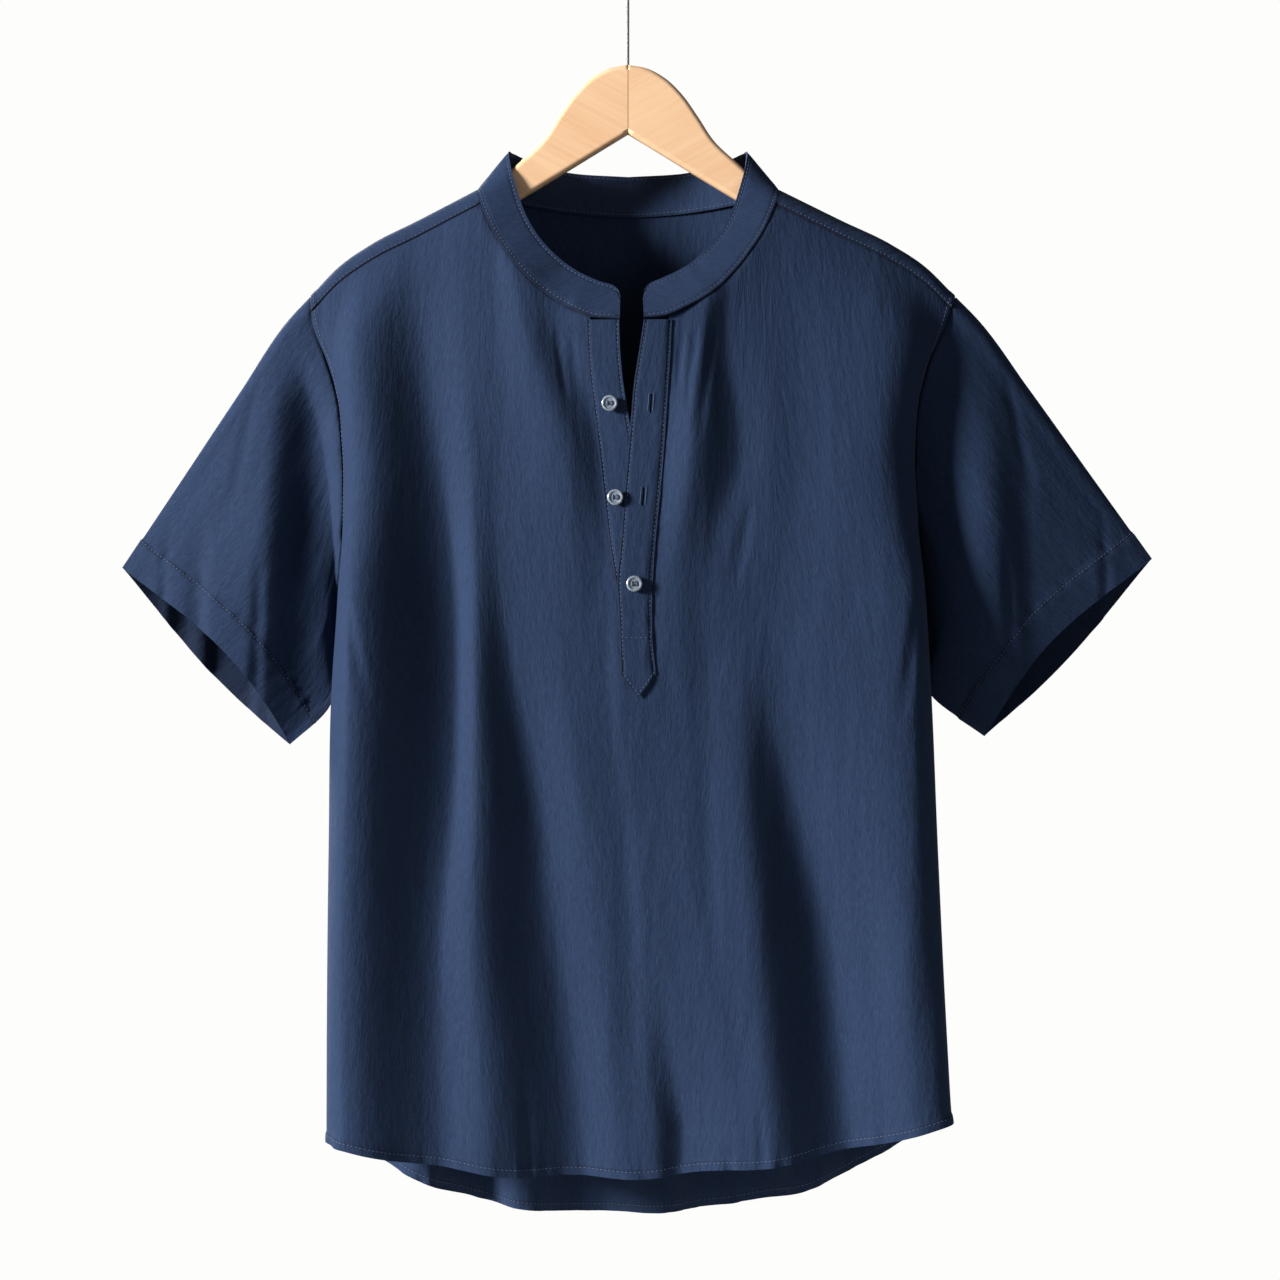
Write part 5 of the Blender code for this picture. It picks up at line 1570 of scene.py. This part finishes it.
# %% [markdown]
# ## The wooden halves
#
# The hanger of the frame is faceted, so each half is made again with smooth curves. Its outline
# follows the photo above the neck and the shoulder line under the cloth. The edge is rounded by
# stepping the outline inwards, and the two halves meet on the middle plane.

# %% Hanger halves
WOOD_TOP = ((0, -94.3), (-13.5, -96.8), (-27.4, -104.4), (-38.9, -115.6), (-50.4, -131.7),
            (-61.9, -149), (-77.8, -164.1), (-87, -172.3), (-98, -182))
WOOD_UNDER = ((-205, -259.5), (-180, -247), (-130, -222.5), (-77.8, -191.5), (0, -144))
ARM_START, ARM_END, UNDER_CLOTH = 112.0, 211.0, 2.8
WOOD_HALF, WOOD_ROUND = 6.0, 3.5


def evenly(points, count):
    """The same line with evenly spaced points."""
    points = np.array(points, float)
    along = np.concatenate([[0], np.cumsum(np.linalg.norm(np.diff(points, axis=0), axis=1))])
    at = np.linspace(0, along[-1], count)
    return np.stack([curve(at, along, points[:, k]) for k in (0, 1)], axis=-1)


def hanger_half(side, material):
    """One wooden half: an outline with rounded edges, meeting the other half on the middle."""
    sign = -1 if side == "left" else 1
    arm_x = -np.linspace(ARM_START, ARM_END - 8, 9)
    arm = np.stack([arm_x, ridge_z(-sign * arm_x) - UNDER_CLOTH], axis=-1)
    upper = evenly(np.vstack([WOOD_TOP, arm]), 110)
    # The arm's end is one rounded curve from the upper to the under edge.
    turn = np.linspace(0.08, 0.92, 12)[:, None]
    tip = (1 - turn) ** 2 * upper[-1] + turn ** 2 * np.array(WOOD_UNDER[0])
    tip = tip + 2 * turn * (1 - turn) * np.array([-ARM_END - 5, upper[-1, 1] - 13])
    outline = np.vstack([upper, tip, evenly(WOOD_UNDER, 60)])
    outline[:, 0] *= -sign
    tangent = unit(np.roll(outline, -1, axis=0) - np.roll(outline, 1, axis=0))
    normal = np.stack([-tangent[:, 1], tangent[:, 0]], axis=-1) * -sign
    normal[0], normal[-1] = (0, -1), (0, 1)          # the joint stays on the middle plane
    turns = np.linspace(0, math.pi / 2, 7)
    arc = [(WOOD_ROUND * (1 - math.sin(t)), WOOD_ROUND * (1 - math.cos(t))) for t in turns]
    stations = [(inset, down - WOOD_HALF) for inset, down in arc]
    stations += [(inset, WOOD_HALF - down) for inset, down in reversed(arc)]
    points, faces = [], []
    count = len(outline)
    for inset, y in stations:
        ring = outline + normal * inset
        points += [(x * MM, y * MM, z * MM) for x, z in ring]
    for r in range(len(stations) - 1):
        for k in range(count):
            m = (k + 1) % count
            faces.append((r * count + k, r * count + m, (r + 1) * count + m, (r + 1) * count + k))
    last = (len(stations) - 1) * count
    faces += [tuple(range(count))[::-1], tuple(range(last, last + count))]
    if sign > 0:
        faces = [face[::-1] for face in faces]
    mesh = bpy.data.meshes.new(f"hanger_{side}_wood")
    mesh.from_pydata(points, [], faces)
    mesh.polygons.foreach_set("use_smooth", [True] * len(faces))
    mesh.polygons[-1].use_smooth = mesh.polygons[-2].use_smooth = False
    mesh.materials.append(material)
    obj = bpy.data.objects.new(mesh.name, mesh)
    bpy.context.scene.collection.objects.link(obj)
    made[mesh.name] = obj
    print(mesh.name, len(faces), "faces")


hanger_half("left", beech("beech_left", math.radians(-28)))
hanger_half("right", beech("beech_right", math.radians(28)))

# %% [markdown]
# The hook and the buttons stay as the frame has them, because their solids already have the
# real form. They only get their finish.

# %% Finishes for the hook and the buttons
repaint("hook", steel())
for n in range(3):
    repaint(f"button_{n + 1}", horn())
print("hanger, hook and buttons are finished")

# %% [markdown]
# ## What stands for what
#
# Each dressed cloth takes the place of one solid, and everything rides on the one body.

# %% Pieces and what they stand for
STANDS_FOR = {
    "hanger_left_wood": "hanger_left",
    "hanger_right_wood": "hanger_right",
    "shirt_front": "front",
    "shirt_back": "back",
    "sleeve_left_cloth": "sleeve_left",
    "sleeve_right_cloth": "sleeve_right",
    "collar_band": "neckband",
    "under_placket": "placket_lower",
    "over_placket": "placket_upper",
}
for name, obj in made.items():
    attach(obj, "root")
for name, node in STANDS_FOR.items():
    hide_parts(node)
print(len(made), "dressed pieces ride on the root")
